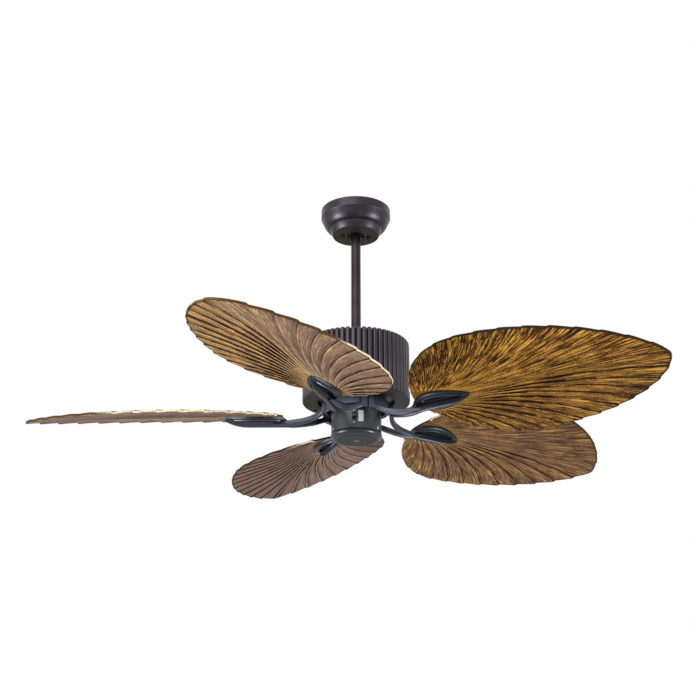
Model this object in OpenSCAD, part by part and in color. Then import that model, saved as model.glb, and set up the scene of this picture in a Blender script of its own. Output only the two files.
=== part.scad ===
// Ceiling fan: one motor on a rod, with five palm-leaf blades on forked arms.
// Millimetres. The origin is the centre of the bracket's top face, on the ceiling, and +Z is up.
// Blades are numbered counter-clockwise from above, and each blade is drawn along +X and turned to its place.

/* [Canopy and bracket] */
// Height from the ceiling to the canopy's floor
canopy_h = 58; // [54:1:72]
// Outer radius of the canopy's rim
canopy_r = 72.9; // [70:0.1:90]
// Height of the canopy's upright rim
canopy_rim_h = 19.4; // [10:0.2:24]
// Radius where the canopy's dome meets the groove
canopy_dome_r = 58.7; // [56:0.1:62]
// Radius of the canopy's floor
canopy_floor_r = 48.2; // [42:0.2:54]
// Wall of the spun canopy
canopy_wall = 1.4; // [1:0.1:2]
// Radius of the rod hole in the canopy's floor
canopy_hole_r = 20.5; // [19:0.5:23]
// Gap between the ceiling and the canopy's rim
rim_gap = 0.8; // [0.2:0.2:3]
// Angle by which the bracket is turned on the ceiling
bracket_turn = 8; // [0:1:45]
// Distance between the two ceiling bolts
ceiling_bolt_span = 89; // [80:1:100]
// Radius of the ceiling bolt holes
ceiling_bolt_r = 2.8; // [2:0.1:3.5]
// Thickness of the bracket's sheet
bracket_t = 2.5; // [2:0.1:3.5]
// Width of the bracket's strap
bracket_w = 44; // [36:1:50]
// Size of the receiver box along the bracket, across it and downwards
receiver_size = [76, 25, 20];

/* [Ball and rod] */
// Radius of the hanger ball
ball_r = 25; // [23:0.5:27]
// Depth of the ball's centre below the ceiling
ball_drop = 36; // [34:1:40]
// Play between the ball and its seat
ball_play = 0.3; // [0.1:0.1:0.6]
// Length of the downrod
rod_len = 305; // [160:5:900]
// Outer radius of the downrod
rod_r = 10; // [8:0.5:11]
// Wall of the downrod
rod_wall = 1.8; // [1.2:0.1:2.5]
// Radius of the cross pins
pin_r = 3; // [2:0.1:3.5]
// Radius of the bundle of leads
lead_r = 2.2; // [1.5:0.1:2.3]
// Height of the coupling cover
cover_h = 27; // [24:1:40]
// Radius of the coupling cover's foot
cover_r = 39; // [36:1:50]

/* [Motor housing] */
// Radius over the ribs
housing_r = 108; // [106:0.5:125]
// Height of the housing
housing_h = 125; // [124:1:160]
// Number of upright ribs
rib_count = 60; // [48:2:72]
// Height of a rib above the drum
rib_h = 3; // [2:0.1:4]
// Wall of the drum
drum_wall = 3; // [2:0.1:4]
// Rounding of the top edge
shoulder_r = 7; // [4:0.5:9]
// Radius of the opening in the base plate
base_hole_r = 77.5; // [77:0.5:82]
// Thickness of the base plate
base_plate_t = 2.5; // [2:0.1:4]

/* [Motor] */
// Radius of the stator core
stator_r = 62; // [56:0.5:64]
// Height of the stator's stack
stack_h = 22; // [16:1:26]
// Air gap between stator and rotor
air_gap = 0.5; // [0.3:0.1:1]
// Outer radius of the rotor
rotor_r = 84; // [80:0.5:88]
// Radius of the shaft in the bearings
shaft_r = 7.5; // [6.5:0.1:8]
// Outer radius of the bearings
bearing_r = 17.5; // [16.5:0.1:19]
// Width of the bearings
bearing_w = 11; // [10:0.5:12]
// Number of balls in a bearing
ball_count = 8; // [6:1:9]
// Radius of the flywheel
flywheel_r = 67; // [65:0.5:70]
// Height of the flywheel's rim
flywheel_h = 17; // [14:0.5:18]

/* [Switch housing] */
// Radius of the switch housing
switch_r = 50; // [46:0.5:56]
// Height of the switch housing without its cap
switch_h = 43; // [40:0.5:60]
// Wall of the switch housing
switch_wall = 1.5; // [1.2:0.1:2]
// Height of the bottom cap
cap_h = 13; // [10:0.5:18]
// Radius of the cap's flat middle
cap_flat_r = 36.5; // [30:0.5:40]
// Travel of the reversing switch
slider_travel = 5; // [3:0.5:6]

/* [Blade arms] */
// Distance of a foot from its arm's middle plane, as an angle
foot_angle = 30.7; // [30:0.1:31]
// Width of a foot
foot_w = 11.5; // [9:0.1:12]
// Height of a foot
foot_h = 26; // [22:0.5:30]
// Thickness of a foot
foot_t = 9.4; // [8:0.1:11]
// Thickness of a prong
prong_t = 8.5; // [6:0.5:9]
// Height of a prong
prong_h = 12; // [8:0.5:13]
// Depth of the prongs' middle below the level of the blades
prong_drop = 14.3; // [13:0.1:16]
// Where the leaf-shaped holder starts, from the axis
holder_root_u = 137; // [130:1:142]
// Where the holder's tip ends, from the axis
holder_tip_u = 262; // [250:1:275]
// Width of the leaf-shaped holder
holder_w = 59; // [44:1:64]
// Depth of the holder's keel
holder_depth = 20.5; // [18:0.5:26]

/* [Blades] */
// Number of blades
blade_count = 5;
// Angle of the first blade from +X
first_blade_angle = 36; // [0:1:72]
// Radius swept by the blade tips
tip_r = 660; // [560:5:760]
// Distance of a blade's root from the axis
root_r = 146; // [138:1:156]
// Distance of a blade's widest place from the axis
widest_r = 335; // [300:5:380]
// Width of a blade
blade_w = 343; // [280:1:400]
// Thickness of a blade
blade_t = 3.5; // [2.5:0.1:5]
// Pitch of a blade
blade_pitch = 14; // [8:0.5:18]
// Droop of a blade's tip
blade_droop = 11.5; // [0:0.5:40]
// Pleats on each side of a blade
pleat_count = 14; // [10:1:18]
// Height of a pleat at the rim
pleat_h = 2.8; // [2:0.2:6]
// Depth of the blades' level below the housing
blade_level_drop = 30; // [29:0.5:34]

/* [Hidden] */
$fn = 72;
eps = 0.01;

bronze = "#453f42";
dark_bronze = "#2f2d30";
steel = "#9a9da1";
zinc = "#b9b9b4";
leaf_brown = "#7a5428";

// Clearance between pieces that are pushed together
slip = 0.1;
// Clearance around a fastener's shank
screw_play = 0.05;

// Bracket and ball
ball_z = -ball_drop;
ball_top = 19;
ball_bottom = 18;
seat_r = ball_r + ball_play;
ring_out_r = ball_r + 8;
ring_bottom = -canopy_h + canopy_wall;
ring_top = ball_z - 10;
ring_mouth_r = canopy_hole_r - 1.5;
canopy_screw_at = ring_out_r - 5.7;
slot_w = 4.4;
slot_floor = ball_r - 6.5;
tab_tip = ball_r - 2.2;
canopy_screw_r = 2;
plate_half = ceiling_bolt_span / 2 + 12;

// Rod and coupling
rod_top = ball_z + ball_top + 2;
rod_bottom = rod_top - rod_len;
coupling_r = rod_r + 6;
rod_socket = 32;
coupling_top = rod_bottom + rod_socket;
clevis_z = coupling_top - 8;
web_h = 10;
shaft_socket = 13;
coupling_bottom = rod_bottom - web_h - shaft_socket;
shaft_top = rod_bottom - web_h;
clevis_half = coupling_r + 4;
ball_pin_z = ball_z + 12;
ball_pin_half = sqrt(pow(ball_r, 2) - pow(12 + pin_r, 2)) - 1;

// Housing
housing_top = coupling_top - 15;
housing_bottom = housing_top - housing_h;
drum_bottom = housing_bottom + base_plate_t;
drum_r = housing_r - rib_h;
drum_in_r = drum_r - drum_wall;
top_t = 2.5;
rib_radius = 0.42 * 360 / rib_count * PI / 180 * drum_r;
flange_r = coupling_r + 16;
flange_t = 4.5;
flange_screw_at = coupling_r + 9;
base_screw_at = drum_in_r - 4.5;
boss_r = 5;
boss_h = 14;
vent_at = 52;
vent_len = 24;
vent_w = 5;

// Motor, stacked up from the housing's bottom
flywheel_top = housing_bottom - 4;
flywheel_bottom = flywheel_top - flywheel_h;
cover_t = 6;
cover_chamfer = 4;
lower_cover_out = housing_bottom + 8;
lower_cover_in = lower_cover_out + cover_t;
coil_h = 9;
motor_mid = lower_cover_in + 24;
upper_cover_in = motor_mid + 24;
upper_cover_out = upper_cover_in + cover_t;
stack_top = motor_mid + stack_h / 2;
stack_bottom = motor_mid - stack_h / 2;
pocket_h = bearing_w + 2;
hub_wall = 6.5;
hub_r = bearing_r + hub_wall;
shoulder_h = 7;
shaft_clear_r = shaft_r + 4.5;
seat_shaft_r = shaft_r + 1.7;
shaft_bore_r = lead_r + 1.8;
upper_bearing_mid = upper_cover_in + pocket_h - bearing_w / 2;
lower_bearing_mid = lower_cover_in - pocket_h + bearing_w / 2;
rotor_in_r = stator_r + air_gap;
skirt_in_r = rotor_r - 9;
rotor_bolt_at = rotor_r - 4.5;
rotor_bolt_r = 2;
spigot_r = 60;
spigot_in_r = 48;
flywheel_screw_at = 54;
web_t = 7;
pitch_circle = (shaft_r + bearing_r) / 2;
race_ball_r = (bearing_r - shaft_r) * 0.297;
race_gap = 0.08;

// Switch housing
switch_top = flywheel_bottom - 2;
switch_bottom = switch_top - switch_h;
cap_bottom = switch_bottom - cap_h;
switch_in_r = switch_r - switch_wall;
nut_h = 7;
shaft_bottom = switch_top - switch_wall - nut_h - 3;
cap_lip_h = 8;
cap_screw_z = switch_bottom + 5;
cap_screw_angles = [-154, -34, 86];
switch_angle = -95;
slot_h = 16;
slot_top = switch_top - 11.5;
slider_w = 5;
slider_h = 6;
slot_width = 7;
plate_angle = -79.5;
plate_w = 10;
plate_h = 22;
plate_t = 0.5;

// Arms and blades
blade_z = housing_bottom - blade_level_drop;
seat_flat_r = flywheel_r - 0.4;
foot_top = flywheel_top;
foot_bottom = foot_top - foot_h;
foot_out = seat_flat_r + foot_t;
arm_screw_z = (flywheel_top + flywheel_bottom) / 2;
arm_screw_r = 2.4;
prong_z = blade_z - prong_drop;
leaf_lift = 0.3 + blade_t / 2;
blade_screw_r = 2.4;
blade_screw_near = 20;
blade_screw_far = 68;
blade_screw_side = 13;
blade_screw_places = [[root_r + blade_screw_near, blade_screw_side],
    [root_r + blade_screw_near, -blade_screw_side], [root_r + blade_screw_far, 0]];
tip_power = 0.68;
root_power = 0.62;
last_rim_angle = 160;
tab_end_u = holder_tip_u - 1;

module at_blade(i) {
    rotate([0, 0, first_blade_angle + (i - 1) * 360 / blade_count]) children();
}

module each_blade() {
    for (i = [1:blade_count]) at_blade(i) children();
}

// A screw with its head above z = 0 and its shank below it
module pan_screw(head_r, head_h, shank_r, shank_len) {
    difference() {
        union() {
            cylinder(r = head_r, h = head_h);
            translate([0, 0, -shank_len]) cylinder(r = shank_r, h = shank_len + eps);
        }
        for (turn = [0, 90]) rotate([0, 0, turn])
            translate([-head_r * 0.6, -head_r * 0.12, head_h * 0.45])
                cube([head_r * 1.2, head_r * 0.24, head_h]);
    }
}

// Canopy and bracket

dome_top_r = canopy_r - 0.7;
dome_top = -canopy_rim_h - 0.8;
groove_z = -canopy_h + 15.2;
tier_r = canopy_dome_r - 3.4;
function canopy_outline() = concat(
    [[canopy_r, -rim_gap], [canopy_r, -canopy_rim_h]],
    [for (t = [0:0.125:1]) [
        dome_top_r - (dome_top_r - canopy_dome_r) * (0.7 * t + 0.3 * pow(t, 5)),
        dome_top - (dome_top - groove_z) * t]],
    [for (t = [0:0.25:1]) [
        tier_r - (tier_r - canopy_floor_r) * pow(t, 1.15),
        groove_z - 0.6 - (groove_z - 0.6 + canopy_h) * t]]);

module canopy() color(bronze) difference() {
    outer = canopy_outline();
    rotate_extrude() polygon(concat(outer, [[0, -canopy_h], [0, -rim_gap]]));
    rotate_extrude() polygon(concat(
        [for (p = outer) [p[0] - canopy_wall, p[1] + canopy_wall]],
        [[0, -canopy_h + canopy_wall], [0, canopy_wall], [canopy_r - canopy_wall, canopy_wall]]));
    translate([0, 0, -canopy_h - 1]) cylinder(r = canopy_hole_r, h = canopy_wall + 2);
    for (side = [0, 180]) rotate([0, 0, bracket_turn + side]) {
        translate([canopy_screw_at, 0, -canopy_h - 1])
            cylinder(r = canopy_screw_r + screw_play, h = canopy_wall + 2);
        rotate([0, 0, 17]) translate([canopy_screw_at, 0, -canopy_h - 1])
            cylinder(r = 3.4, h = canopy_wall + 2);
    }
}

module canopy_screws() color(dark_bronze)
    for (side = [0, 180]) rotate([0, 0, bracket_turn + side])
        translate([canopy_screw_at, 0, -canopy_h]) mirror([0, 0, 1])
            pan_screw(4, 2, canopy_screw_r, 9);

module hanger_bracket() color(steel) rotate([0, 0, bracket_turn]) {
    difference() {
        union() {
            translate([0, 0, -bracket_t]) linear_extrude(bracket_t) {
                square([2 * plate_half - bracket_w * 0.6, bracket_w], center = true);
                for (side = [-1, 1]) translate([side * (plate_half - 10), 0])
                    square([20, bracket_w * 0.6], center = true);
                translate([-22, 0]) square([44, bracket_w / 2 + receiver_size[1]]);
            }
            for (side = [-1, 1]) translate([side * (ring_out_r - bracket_t / 2), 0, ring_bottom / 2])
                cube([bracket_t, 30, -ring_bottom], center = true);
            translate([0, 0, ring_bottom]) cylinder(r = ring_out_r, h = ring_top - ring_bottom);
        }
        translate([0, 0, ball_z]) sphere(r = seat_r);
        translate([0, 0, ring_bottom - 1]) cylinder(r = ring_mouth_r, h = 2 - ring_bottom);
        for (side = [-1, 1]) {
            translate([side * ceiling_bolt_span / 2, 0, -bracket_t - 1])
                cylinder(r = ceiling_bolt_r, h = bracket_t + 2);
            translate([side * canopy_screw_at, 0, ring_bottom - 1])
                cylinder(r = canopy_screw_r + screw_play, h = 10);
        }
    }
    translate([-(slot_w - 1) / 2, -ring_out_r + 2, ring_bottom + 2])
        cube([slot_w - 1, ring_out_r - 2 - tab_tip, ball_z - 2 - ring_bottom - 2]);
}

module receiver_box() color("#d8d8d2") rotate([0, 0, bracket_turn])
    translate([-receiver_size[0] / 2, ball_r + 1, -bracket_t - receiver_size[2]]) difference() {
        cube(receiver_size);
        for (x = [8, receiver_size[0] - 8]) translate([x, receiver_size[1] / 2, -1])
            cylinder(r = 2, h = 4);
    }

// Ball, rod and coupling

module hanger_ball() color(zinc) rotate([0, 0, bracket_turn]) difference() {
    translate([0, 0, ball_z]) sphere(r = ball_r);
    translate([-ball_r, -ball_r, ball_z + ball_top]) cube(2 * ball_r);
    translate([-ball_r, -ball_r, ball_z - ball_bottom - 2 * ball_r]) cube(2 * ball_r);
    translate([0, 0, ball_z - ball_r]) cylinder(r = rod_r + slip, h = 2 * ball_r);
    translate([-slot_w / 2, -ball_r - 1, ball_z - ball_r])
        cube([slot_w, ball_r + 1 - slot_floor, 2 * ball_r]);
    translate([0, 0, ball_pin_z]) rotate([0, 90, 0])
        cylinder(r = pin_r + screw_play, h = 3 * ball_r, center = true);
    translate([0, 0, ball_z + 2]) rotate([-90, 0, 0]) cylinder(r = 2.5 + screw_play, h = ball_r + 1);
}

module ball_cross_pin() color(steel) rotate([0, 0, bracket_turn])
    translate([0, 0, ball_pin_z]) rotate([0, 90, 0])
        cylinder(r = pin_r, h = 2 * ball_pin_half, center = true);

module ball_set_screw() color(steel) rotate([0, 0, bracket_turn])
    translate([0, rod_r, ball_z + 2]) rotate([-90, 0, 0]) difference() {
        cylinder(r = 2.5, h = ball_r - rod_r - 1.5);
        translate([0, 0, ball_r - rod_r - 4]) cylinder(r = 1.4, h = 4, $fn = 6);
    }

module downrod() color(bronze) difference() {
    translate([0, 0, rod_bottom]) cylinder(r = rod_r, h = rod_len);
    translate([0, 0, rod_bottom - 1]) cylinder(r = rod_r - rod_wall, h = rod_len + 2);
    translate([0, 0, ball_pin_z]) rotate([0, 90, bracket_turn])
        cylinder(r = pin_r + screw_play, h = 3 * rod_r, center = true);
    translate([0, 0, clevis_z]) rotate([0, 90, 0])
        cylinder(r = pin_r + screw_play, h = 3 * rod_r, center = true);
}

// The leads pass beside the pins in the rod and bend to the middle above the shaft
module lead_bundle() color("#2b2b2b") {
    side = rod_r - rod_wall - lead_r - 0.5;
    bend = shaft_top + 1;
    rise = 19;
    turn = atan(side / rise);
    translate([0, -side, bend + rise]) cylinder(r = lead_r, h = rod_top + 7 - bend - rise);
    translate([0, -side, bend + rise]) sphere(r = lead_r + 0.15);
    translate([0, 0, bend]) rotate([turn, 0, 0]) cylinder(r = lead_r, h = rise / cos(turn));
    translate([0, 0, bend]) sphere(r = lead_r + 0.15);
    translate([0, 0, shaft_bottom - 4]) cylinder(r = lead_r, h = bend - shaft_bottom + 4);
}

module coupling() color(zinc) difference() {
    union() {
        translate([0, 0, coupling_bottom]) cylinder(r = coupling_r, h = coupling_top - coupling_bottom);
        translate([0, 0, housing_top - top_t - flange_t]) cylinder(r = flange_r, h = flange_t);
    }
    translate([0, 0, rod_bottom]) cylinder(r = rod_r + slip, h = rod_socket + 1);
    translate([0, 0, coupling_bottom - 1]) cylinder(r = shaft_r + slip, h = coupling_top - coupling_bottom);
    translate([0, 0, clevis_z]) rotate([0, 90, 0])
        cylinder(r = pin_r + screw_play, h = 3 * coupling_r, center = true);
    for (turn = [0, 90]) rotate([0, 0, turn]) translate([0, 0, coupling_bottom + 6])
        rotate([-90, 0, 0]) cylinder(r = 2.5 + screw_play, h = coupling_r + 1);
    for (turn = [45:90:315]) rotate([0, 0, turn])
        translate([flange_screw_at, 0, housing_top - top_t - flange_t - 1])
            cylinder(r = 2 + screw_play, h = flange_t + 2);
}

module coupling_set_screws() color(steel)
    for (turn = [0, 90]) rotate([0, 0, turn]) translate([0, shaft_r + slip, coupling_bottom + 6])
        rotate([-90, 0, 0]) cylinder(r = 2.5, h = coupling_r - shaft_r - 0.5);

module clevis_pin() color(steel) translate([0, 0, clevis_z]) rotate([0, 90, 0]) difference() {
    union() {
        cylinder(r = pin_r, h = 2 * clevis_half, center = true);
        translate([0, 0, -clevis_half - 2]) cylinder(r = pin_r + 1.5, h = 2);
    }
    translate([0, 0, clevis_half - 2]) rotate([90, 0, 0]) cylinder(r = 0.8, h = 3 * pin_r, center = true);
}

module hairpin_clip() color(steel) translate([clevis_half - 2, 0, clevis_z]) {
    rotate([90, 0, 0]) cylinder(r = 0.7, h = 4 * pin_r, center = true);
    translate([0, 2 * pin_r, -0.7]) rotate([0, 0, 0]) rotate_extrude() translate([1.5, 0.7]) circle(r = 0.7);
}

module coupling_cover() color(bronze) translate([0, 0, housing_top]) {
    wall = 1.2;
    arch = [for (a = [0:10:80]) [
        rod_r + 1.4 + (cover_r - rod_r - 1.4) * cos(a), cover_h * sin(a) / sin(80)]];
    rotate_extrude() polygon(concat(
        arch, [[rod_r + 0.4, cover_h], [rod_r + 0.4, cover_h - wall]],
        [for (i = [len(arch) - 1:-1:1]) [arch[i][0] - wall, arch[i][1] - wall]],
        [[cover_r - wall, 0]]));
}

// Housing

module rib_outline() {
    circle(r = drum_r);
    for (i = [0:rib_count - 1]) rotate([0, 0, (i + 0.5) * 360 / rib_count])
        translate([housing_r - rib_radius, 0]) circle(r = rib_radius, $fn = 24);
}

module motor_housing() color(bronze) difference() {
    intersection() {
        translate([0, 0, drum_bottom]) linear_extrude(housing_top - drum_bottom) rib_outline();
        rotate_extrude() polygon(concat(
            [[0, housing_bottom], [housing_r + 1, housing_bottom]],
            [for (a = [0:15:90]) [
                housing_r + 0.01 - shoulder_r * (1 - cos(a)), housing_top - shoulder_r * (1 - sin(a))]],
            [[0, housing_top]]));
    }
    difference() {
        translate([0, 0, drum_bottom - 1]) cylinder(r = drum_in_r, h = housing_top - drum_bottom - top_t + 1);
        for (turn = [30:120:270]) rotate([0, 0, turn])
            translate([base_screw_at, 0, drum_bottom]) cylinder(r = boss_r, h = boss_h);
    }
    for (turn = [30:120:270]) rotate([0, 0, turn])
        translate([base_screw_at, 0, drum_bottom - 1]) cylinder(r = 1.6, h = 10);
    translate([0, 0, housing_top - top_t - 1]) cylinder(r = coupling_r + slip, h = top_t + 2);
    for (turn = [45:90:315]) rotate([0, 0, turn])
        translate([flange_screw_at, 0, housing_top - top_t - 1]) cylinder(r = 2 + screw_play, h = top_t + 2);
    for (i = [0:11]) rotate([0, 0, i * 30]) translate([vent_at, -vent_w / 2, housing_top - top_t - 1])
        cube([vent_len, vent_w, top_t + 2]);
}

module housing_top_screws() color(steel)
    for (turn = [45:90:315]) rotate([0, 0, turn]) translate([flange_screw_at, 0, housing_top])
        pan_screw(4, 2.2, 2, top_t + flange_t - 0.5);

module base_plate() color("#3a3836") difference() {
    translate([0, 0, housing_bottom]) cylinder(r = housing_r - 0.6, h = base_plate_t);
    translate([0, 0, housing_bottom - 1]) cylinder(r = base_hole_r, h = base_plate_t + 2);
    for (turn = [30:120:270]) rotate([0, 0, turn])
        translate([base_screw_at, 0, housing_bottom - 1]) cylinder(r = 1.7, h = base_plate_t + 2);
}

module base_plate_screws() color(dark_bronze)
    for (turn = [30:120:270]) rotate([0, 0, turn]) translate([base_screw_at, 0, housing_bottom])
        mirror([0, 0, 1]) pan_screw(3, 1.6, 1.6 - screw_play, base_plate_t + 8);

// Motor

module motor_shaft() color(steel) difference() {
    union() {
        translate([0, 0, shaft_bottom]) cylinder(r = shaft_r, h = shaft_top - shaft_bottom);
        translate([0, 0, lower_bearing_mid + bearing_w / 2])
            cylinder(r = seat_shaft_r, h = upper_bearing_mid - lower_bearing_mid - bearing_w);
    }
    translate([0, 0, shaft_bottom - 1]) cylinder(r = shaft_bore_r, h = shaft_top - shaft_bottom + 2);
    translate([0, 0, motor_mid - stack_h / 2 - 6]) rotate([0, 90, 0]) cylinder(r = 3, h = 2 * shaft_r);
}

slot_count = 18;
module stator_core() color("#8d9196") translate([0, 0, stack_bottom]) linear_extrude(stack_h) difference() {
    circle(r = stator_r);
    circle(r = seat_shaft_r);
    for (i = [0:slot_count - 1]) rotate([0, 0, i * 360 / slot_count]) {
        translate([stator_r * 0.56, -3.2]) square([stator_r * 0.37, 6.4]);
        translate([stator_r * 0.9, -1.2]) square([stator_r * 0.2, 2.4]);
    }
}

module stator_windings() color("#b5622a")
    for (side = [0, 1]) mirror([0, 0, side]) translate([0, 0, side * -2 * motor_mid])
        translate([0, 0, stack_top]) rotate_extrude() polygon([
            [stator_r * 0.5, 0], [stator_r * 0.94, 0], [stator_r * 0.95, coil_h * 0.6],
            [stator_r * 0.88, coil_h], [stator_r * 0.58, coil_h], [stator_r * 0.5, coil_h * 0.6]]);

module race(inner, outer, z) translate([0, 0, z]) rotate_extrude() difference() {
    translate([inner, -bearing_w / 2]) square([outer - inner, bearing_w]);
    translate([pitch_circle, 0]) circle(r = race_ball_r + race_gap, $fn = 36);
}

inner_race_r = pitch_circle - race_ball_r * 0.62;
outer_race_r = pitch_circle + race_ball_r * 0.62;
module upper_inner_ring() color(steel) race(shaft_r, inner_race_r, upper_bearing_mid);
module lower_inner_ring() color(steel) race(shaft_r, inner_race_r, lower_bearing_mid);
module upper_outer_ring() color(steel) race(outer_race_r, bearing_r, upper_bearing_mid);
module lower_outer_ring() color(steel) race(outer_race_r, bearing_r, lower_bearing_mid);

module ball_cage(z) translate([0, 0, z]) {
    for (i = [0:ball_count - 1]) rotate([0, 0, i * 360 / ball_count])
        translate([pitch_circle, 0, 0]) sphere(r = race_ball_r, $fn = 36);
    rotate_extrude() translate([pitch_circle - 0.7, -1]) square([1.4, 2]);
}
module upper_ball_cage() color(zinc) ball_cage(upper_bearing_mid);
module lower_ball_cage() color(zinc) ball_cage(lower_bearing_mid);

module rotor_bolt_holes(low, high)
    for (i = [0:4]) rotate([0, 0, 36 + i * 72]) translate([rotor_bolt_at, 0, low])
        cylinder(r = rotor_bolt_r + screw_play, h = high - low);

module rotor_ring() color("#8d9196") difference() {
    translate([0, 0, stack_bottom]) cylinder(r = rotor_r - slip, h = stack_h);
    translate([0, 0, stack_bottom - 1]) cylinder(r = rotor_in_r, h = stack_h + 2);
    rotor_bolt_holes(stack_bottom - 1, stack_top + 1);
}

// Profile of a rotor cover from its joint at z = 0 up to the top of its hub
module cover_profile(skirt_h) {
    hub_top = skirt_h + pocket_h + shoulder_h;
    polygon([
        [skirt_in_r, 0], [rotor_r, 0], [rotor_r, skirt_h + cover_t - cover_chamfer],
        [rotor_r - cover_chamfer, skirt_h + cover_t],
        [hub_r, skirt_h + cover_t], [hub_r, hub_top], [shaft_clear_r, hub_top],
        [shaft_clear_r, skirt_h + pocket_h], [bearing_r, skirt_h + pocket_h], [bearing_r, skirt_h],
        [skirt_in_r, skirt_h]]);
}

module rotor_top_cover() color(zinc) difference() {
    translate([0, 0, stack_top]) rotate_extrude() cover_profile(upper_cover_in - stack_top);
    rotor_bolt_holes(stack_top - 1, upper_cover_out + 1);
}

module rotor_bottom_cover() color(dark_bronze) difference() {
    union() {
        translate([0, 0, stack_bottom]) mirror([0, 0, 1])
            rotate_extrude() cover_profile(stack_bottom - lower_cover_in);
        translate([0, 0, flywheel_top]) difference() {
            cylinder(r = spigot_r, h = lower_cover_out - flywheel_top + eps);
            translate([0, 0, -1]) cylinder(r = spigot_in_r, h = lower_cover_out - flywheel_top + 2);
        }
    }
    rotor_bolt_holes(lower_cover_out - 1, stack_bottom + 1);
    for (i = [0:4]) rotate([0, 0, i * 72]) translate([flywheel_screw_at, 0, flywheel_top - 1])
        cylinder(r = 2.4, h = 11);
}

module rotor_bolts() color(steel)
    for (i = [0:4]) rotate([0, 0, 36 + i * 72]) translate([rotor_bolt_at, 0, upper_cover_out])
        pan_screw(3.6, 2.4, rotor_bolt_r, upper_cover_out - lower_cover_out - 1);

module flywheel() color(dark_bronze) difference() {
    translate([0, 0, flywheel_bottom]) cylinder(r = flywheel_r, h = flywheel_h);
    translate([0, 0, flywheel_bottom - 1]) cylinder(r = hub_r + 2, h = flywheel_h + 2);
    translate([0, 0, flywheel_bottom - 1]) cylinder(r = flywheel_r - 8.5, h = flywheel_h - web_t + 1);
    for (i = [0:4]) rotate([0, 0, i * 72]) translate([flywheel_screw_at, 0, flywheel_bottom - 1])
        cylinder(r = 2.4 + screw_play, h = flywheel_h + 2);
    each_blade() for (side = [-1, 1]) rotate([0, 0, side * foot_angle]) {
        translate([seat_flat_r, -foot_w / 2, flywheel_bottom - 1]) cube([5, foot_w, flywheel_h + 2]);
        translate([flywheel_r - 9, 0, arm_screw_z]) rotate([0, 90, 0])
            cylinder(r = arm_screw_r + screw_play, h = 12);
    }
}

module flywheel_screws() color(steel)
    for (i = [0:4]) rotate([0, 0, i * 72]) translate([flywheel_screw_at, 0, flywheel_top - web_t])
        mirror([0, 0, 1]) pan_screw(4, 2.6, 2.4 - screw_play, web_t + 9);

// Switch housing

module switch_housing() color(bronze) difference() {
    translate([0, 0, switch_bottom]) cylinder(r = switch_r, h = switch_h);
    translate([0, 0, switch_bottom - 1]) cylinder(r = switch_in_r, h = switch_h - switch_wall + 1);
    translate([0, 0, switch_top - switch_wall - 1]) cylinder(r = shaft_r + slip, h = switch_wall + 2);
    for (a = cap_screw_angles) rotate([0, 0, a]) translate([switch_in_r - 2, 0, cap_screw_z])
        rotate([0, 90, 0]) cylinder(r = 1.6 + screw_play, h = switch_wall + 4);
    rotate([0, 0, switch_angle]) {
        translate([switch_in_r - 4, -slot_width / 2, slot_top - slot_h])
            cube([switch_wall + 8, slot_width, slot_h]);
        for (z = [slot_top + 4.2, slot_top - slot_h - 5.2]) translate([switch_in_r - 4, 0, z])
            rotate([0, 90, 0]) cylinder(r = 1.2 + screw_play, h = switch_wall + 8);
    }
}

module shaft_nut() color(steel) translate([0, 0, switch_top - switch_wall - nut_h]) difference() {
    cylinder(r = shaft_r + 5, h = nut_h, $fn = 6);
    translate([0, 0, -1]) cylinder(r = shaft_r + slip, h = nut_h + 2);
}

module capacitor() color("#e2e2dc")
    translate([-20, shaft_r + 7, switch_top - switch_wall - 28]) difference() {
        cube([40, 21, 28]);
        for (x = [6, 14, 26, 34]) translate([x, 10.5, -1]) cylinder(r = 1.2, h = 4);
    }

// The reversing switch stands behind the slot, and its slider runs in a channel of its body
switch_face = switch_in_r - 1.6;
switch_depth = 9;
switch_w = 13;
channel_h = slider_h + slider_travel + 1;
slider_top = slot_top - (slot_h - channel_h) / 2 - 0.5;
module switch_body() color("#1b1b1c") rotate([0, 0, switch_angle])
    difference() {
        translate([switch_face - switch_depth, -switch_w / 2, slot_top - slot_h - 7.3])
            cube([switch_depth, switch_w, slot_h + 14.3]);
        translate([switch_face - 5, -slider_w / 2 - 0.2, slider_top - channel_h + 0.5])
            cube([6, slider_w + 0.4, channel_h]);
        for (z = [slot_top + 4.2, slot_top - slot_h - 5.2]) translate([switch_face - 6, 0, z])
            rotate([0, 90, 0]) cylinder(r = 1.2, h = 8);
    }

module switch_slider() color("#2a2a2c") rotate([0, 0, switch_angle])
    translate([switch_face - 4.7, -slider_w / 2, slider_top - slider_h])
        cube([switch_r - 0.6 - switch_face + 4.7, slider_w, slider_h]);

module switch_screws() color(zinc) rotate([0, 0, switch_angle])
    for (z = [slot_top + 4.2, slot_top - slot_h - 5.2]) translate([switch_r, 0, z])
        rotate([0, 90, 0]) pan_screw(1.9, 0.9, 1.15, switch_r - switch_face + 3);

module switch_plate() color("#e8e8e6") rotate([0, 0, plate_angle]) intersection() {
    difference() {
        translate([0, 0, switch_bottom]) cylinder(r = switch_r + plate_t, h = switch_h);
        translate([0, 0, switch_bottom - 1]) cylinder(r = switch_r, h = switch_h + 2);
    }
    translate([switch_r - 5, -plate_w / 2, switch_top - 8.5 - plate_h]) cube([10, plate_w, plate_h]);
}

function cap_outline() = concat(
    [[switch_r - 0.8, switch_bottom]],
    [for (a = [0:15:75]) [
        cap_flat_r + 5 + (switch_r + 1.2 - cap_flat_r - 5) * cos(a),
        switch_bottom - 3.2 - (cap_h - 4.4) * sin(a)]],
    [[cap_flat_r + 2, cap_bottom + 1], [cap_flat_r, cap_bottom]]);

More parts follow.
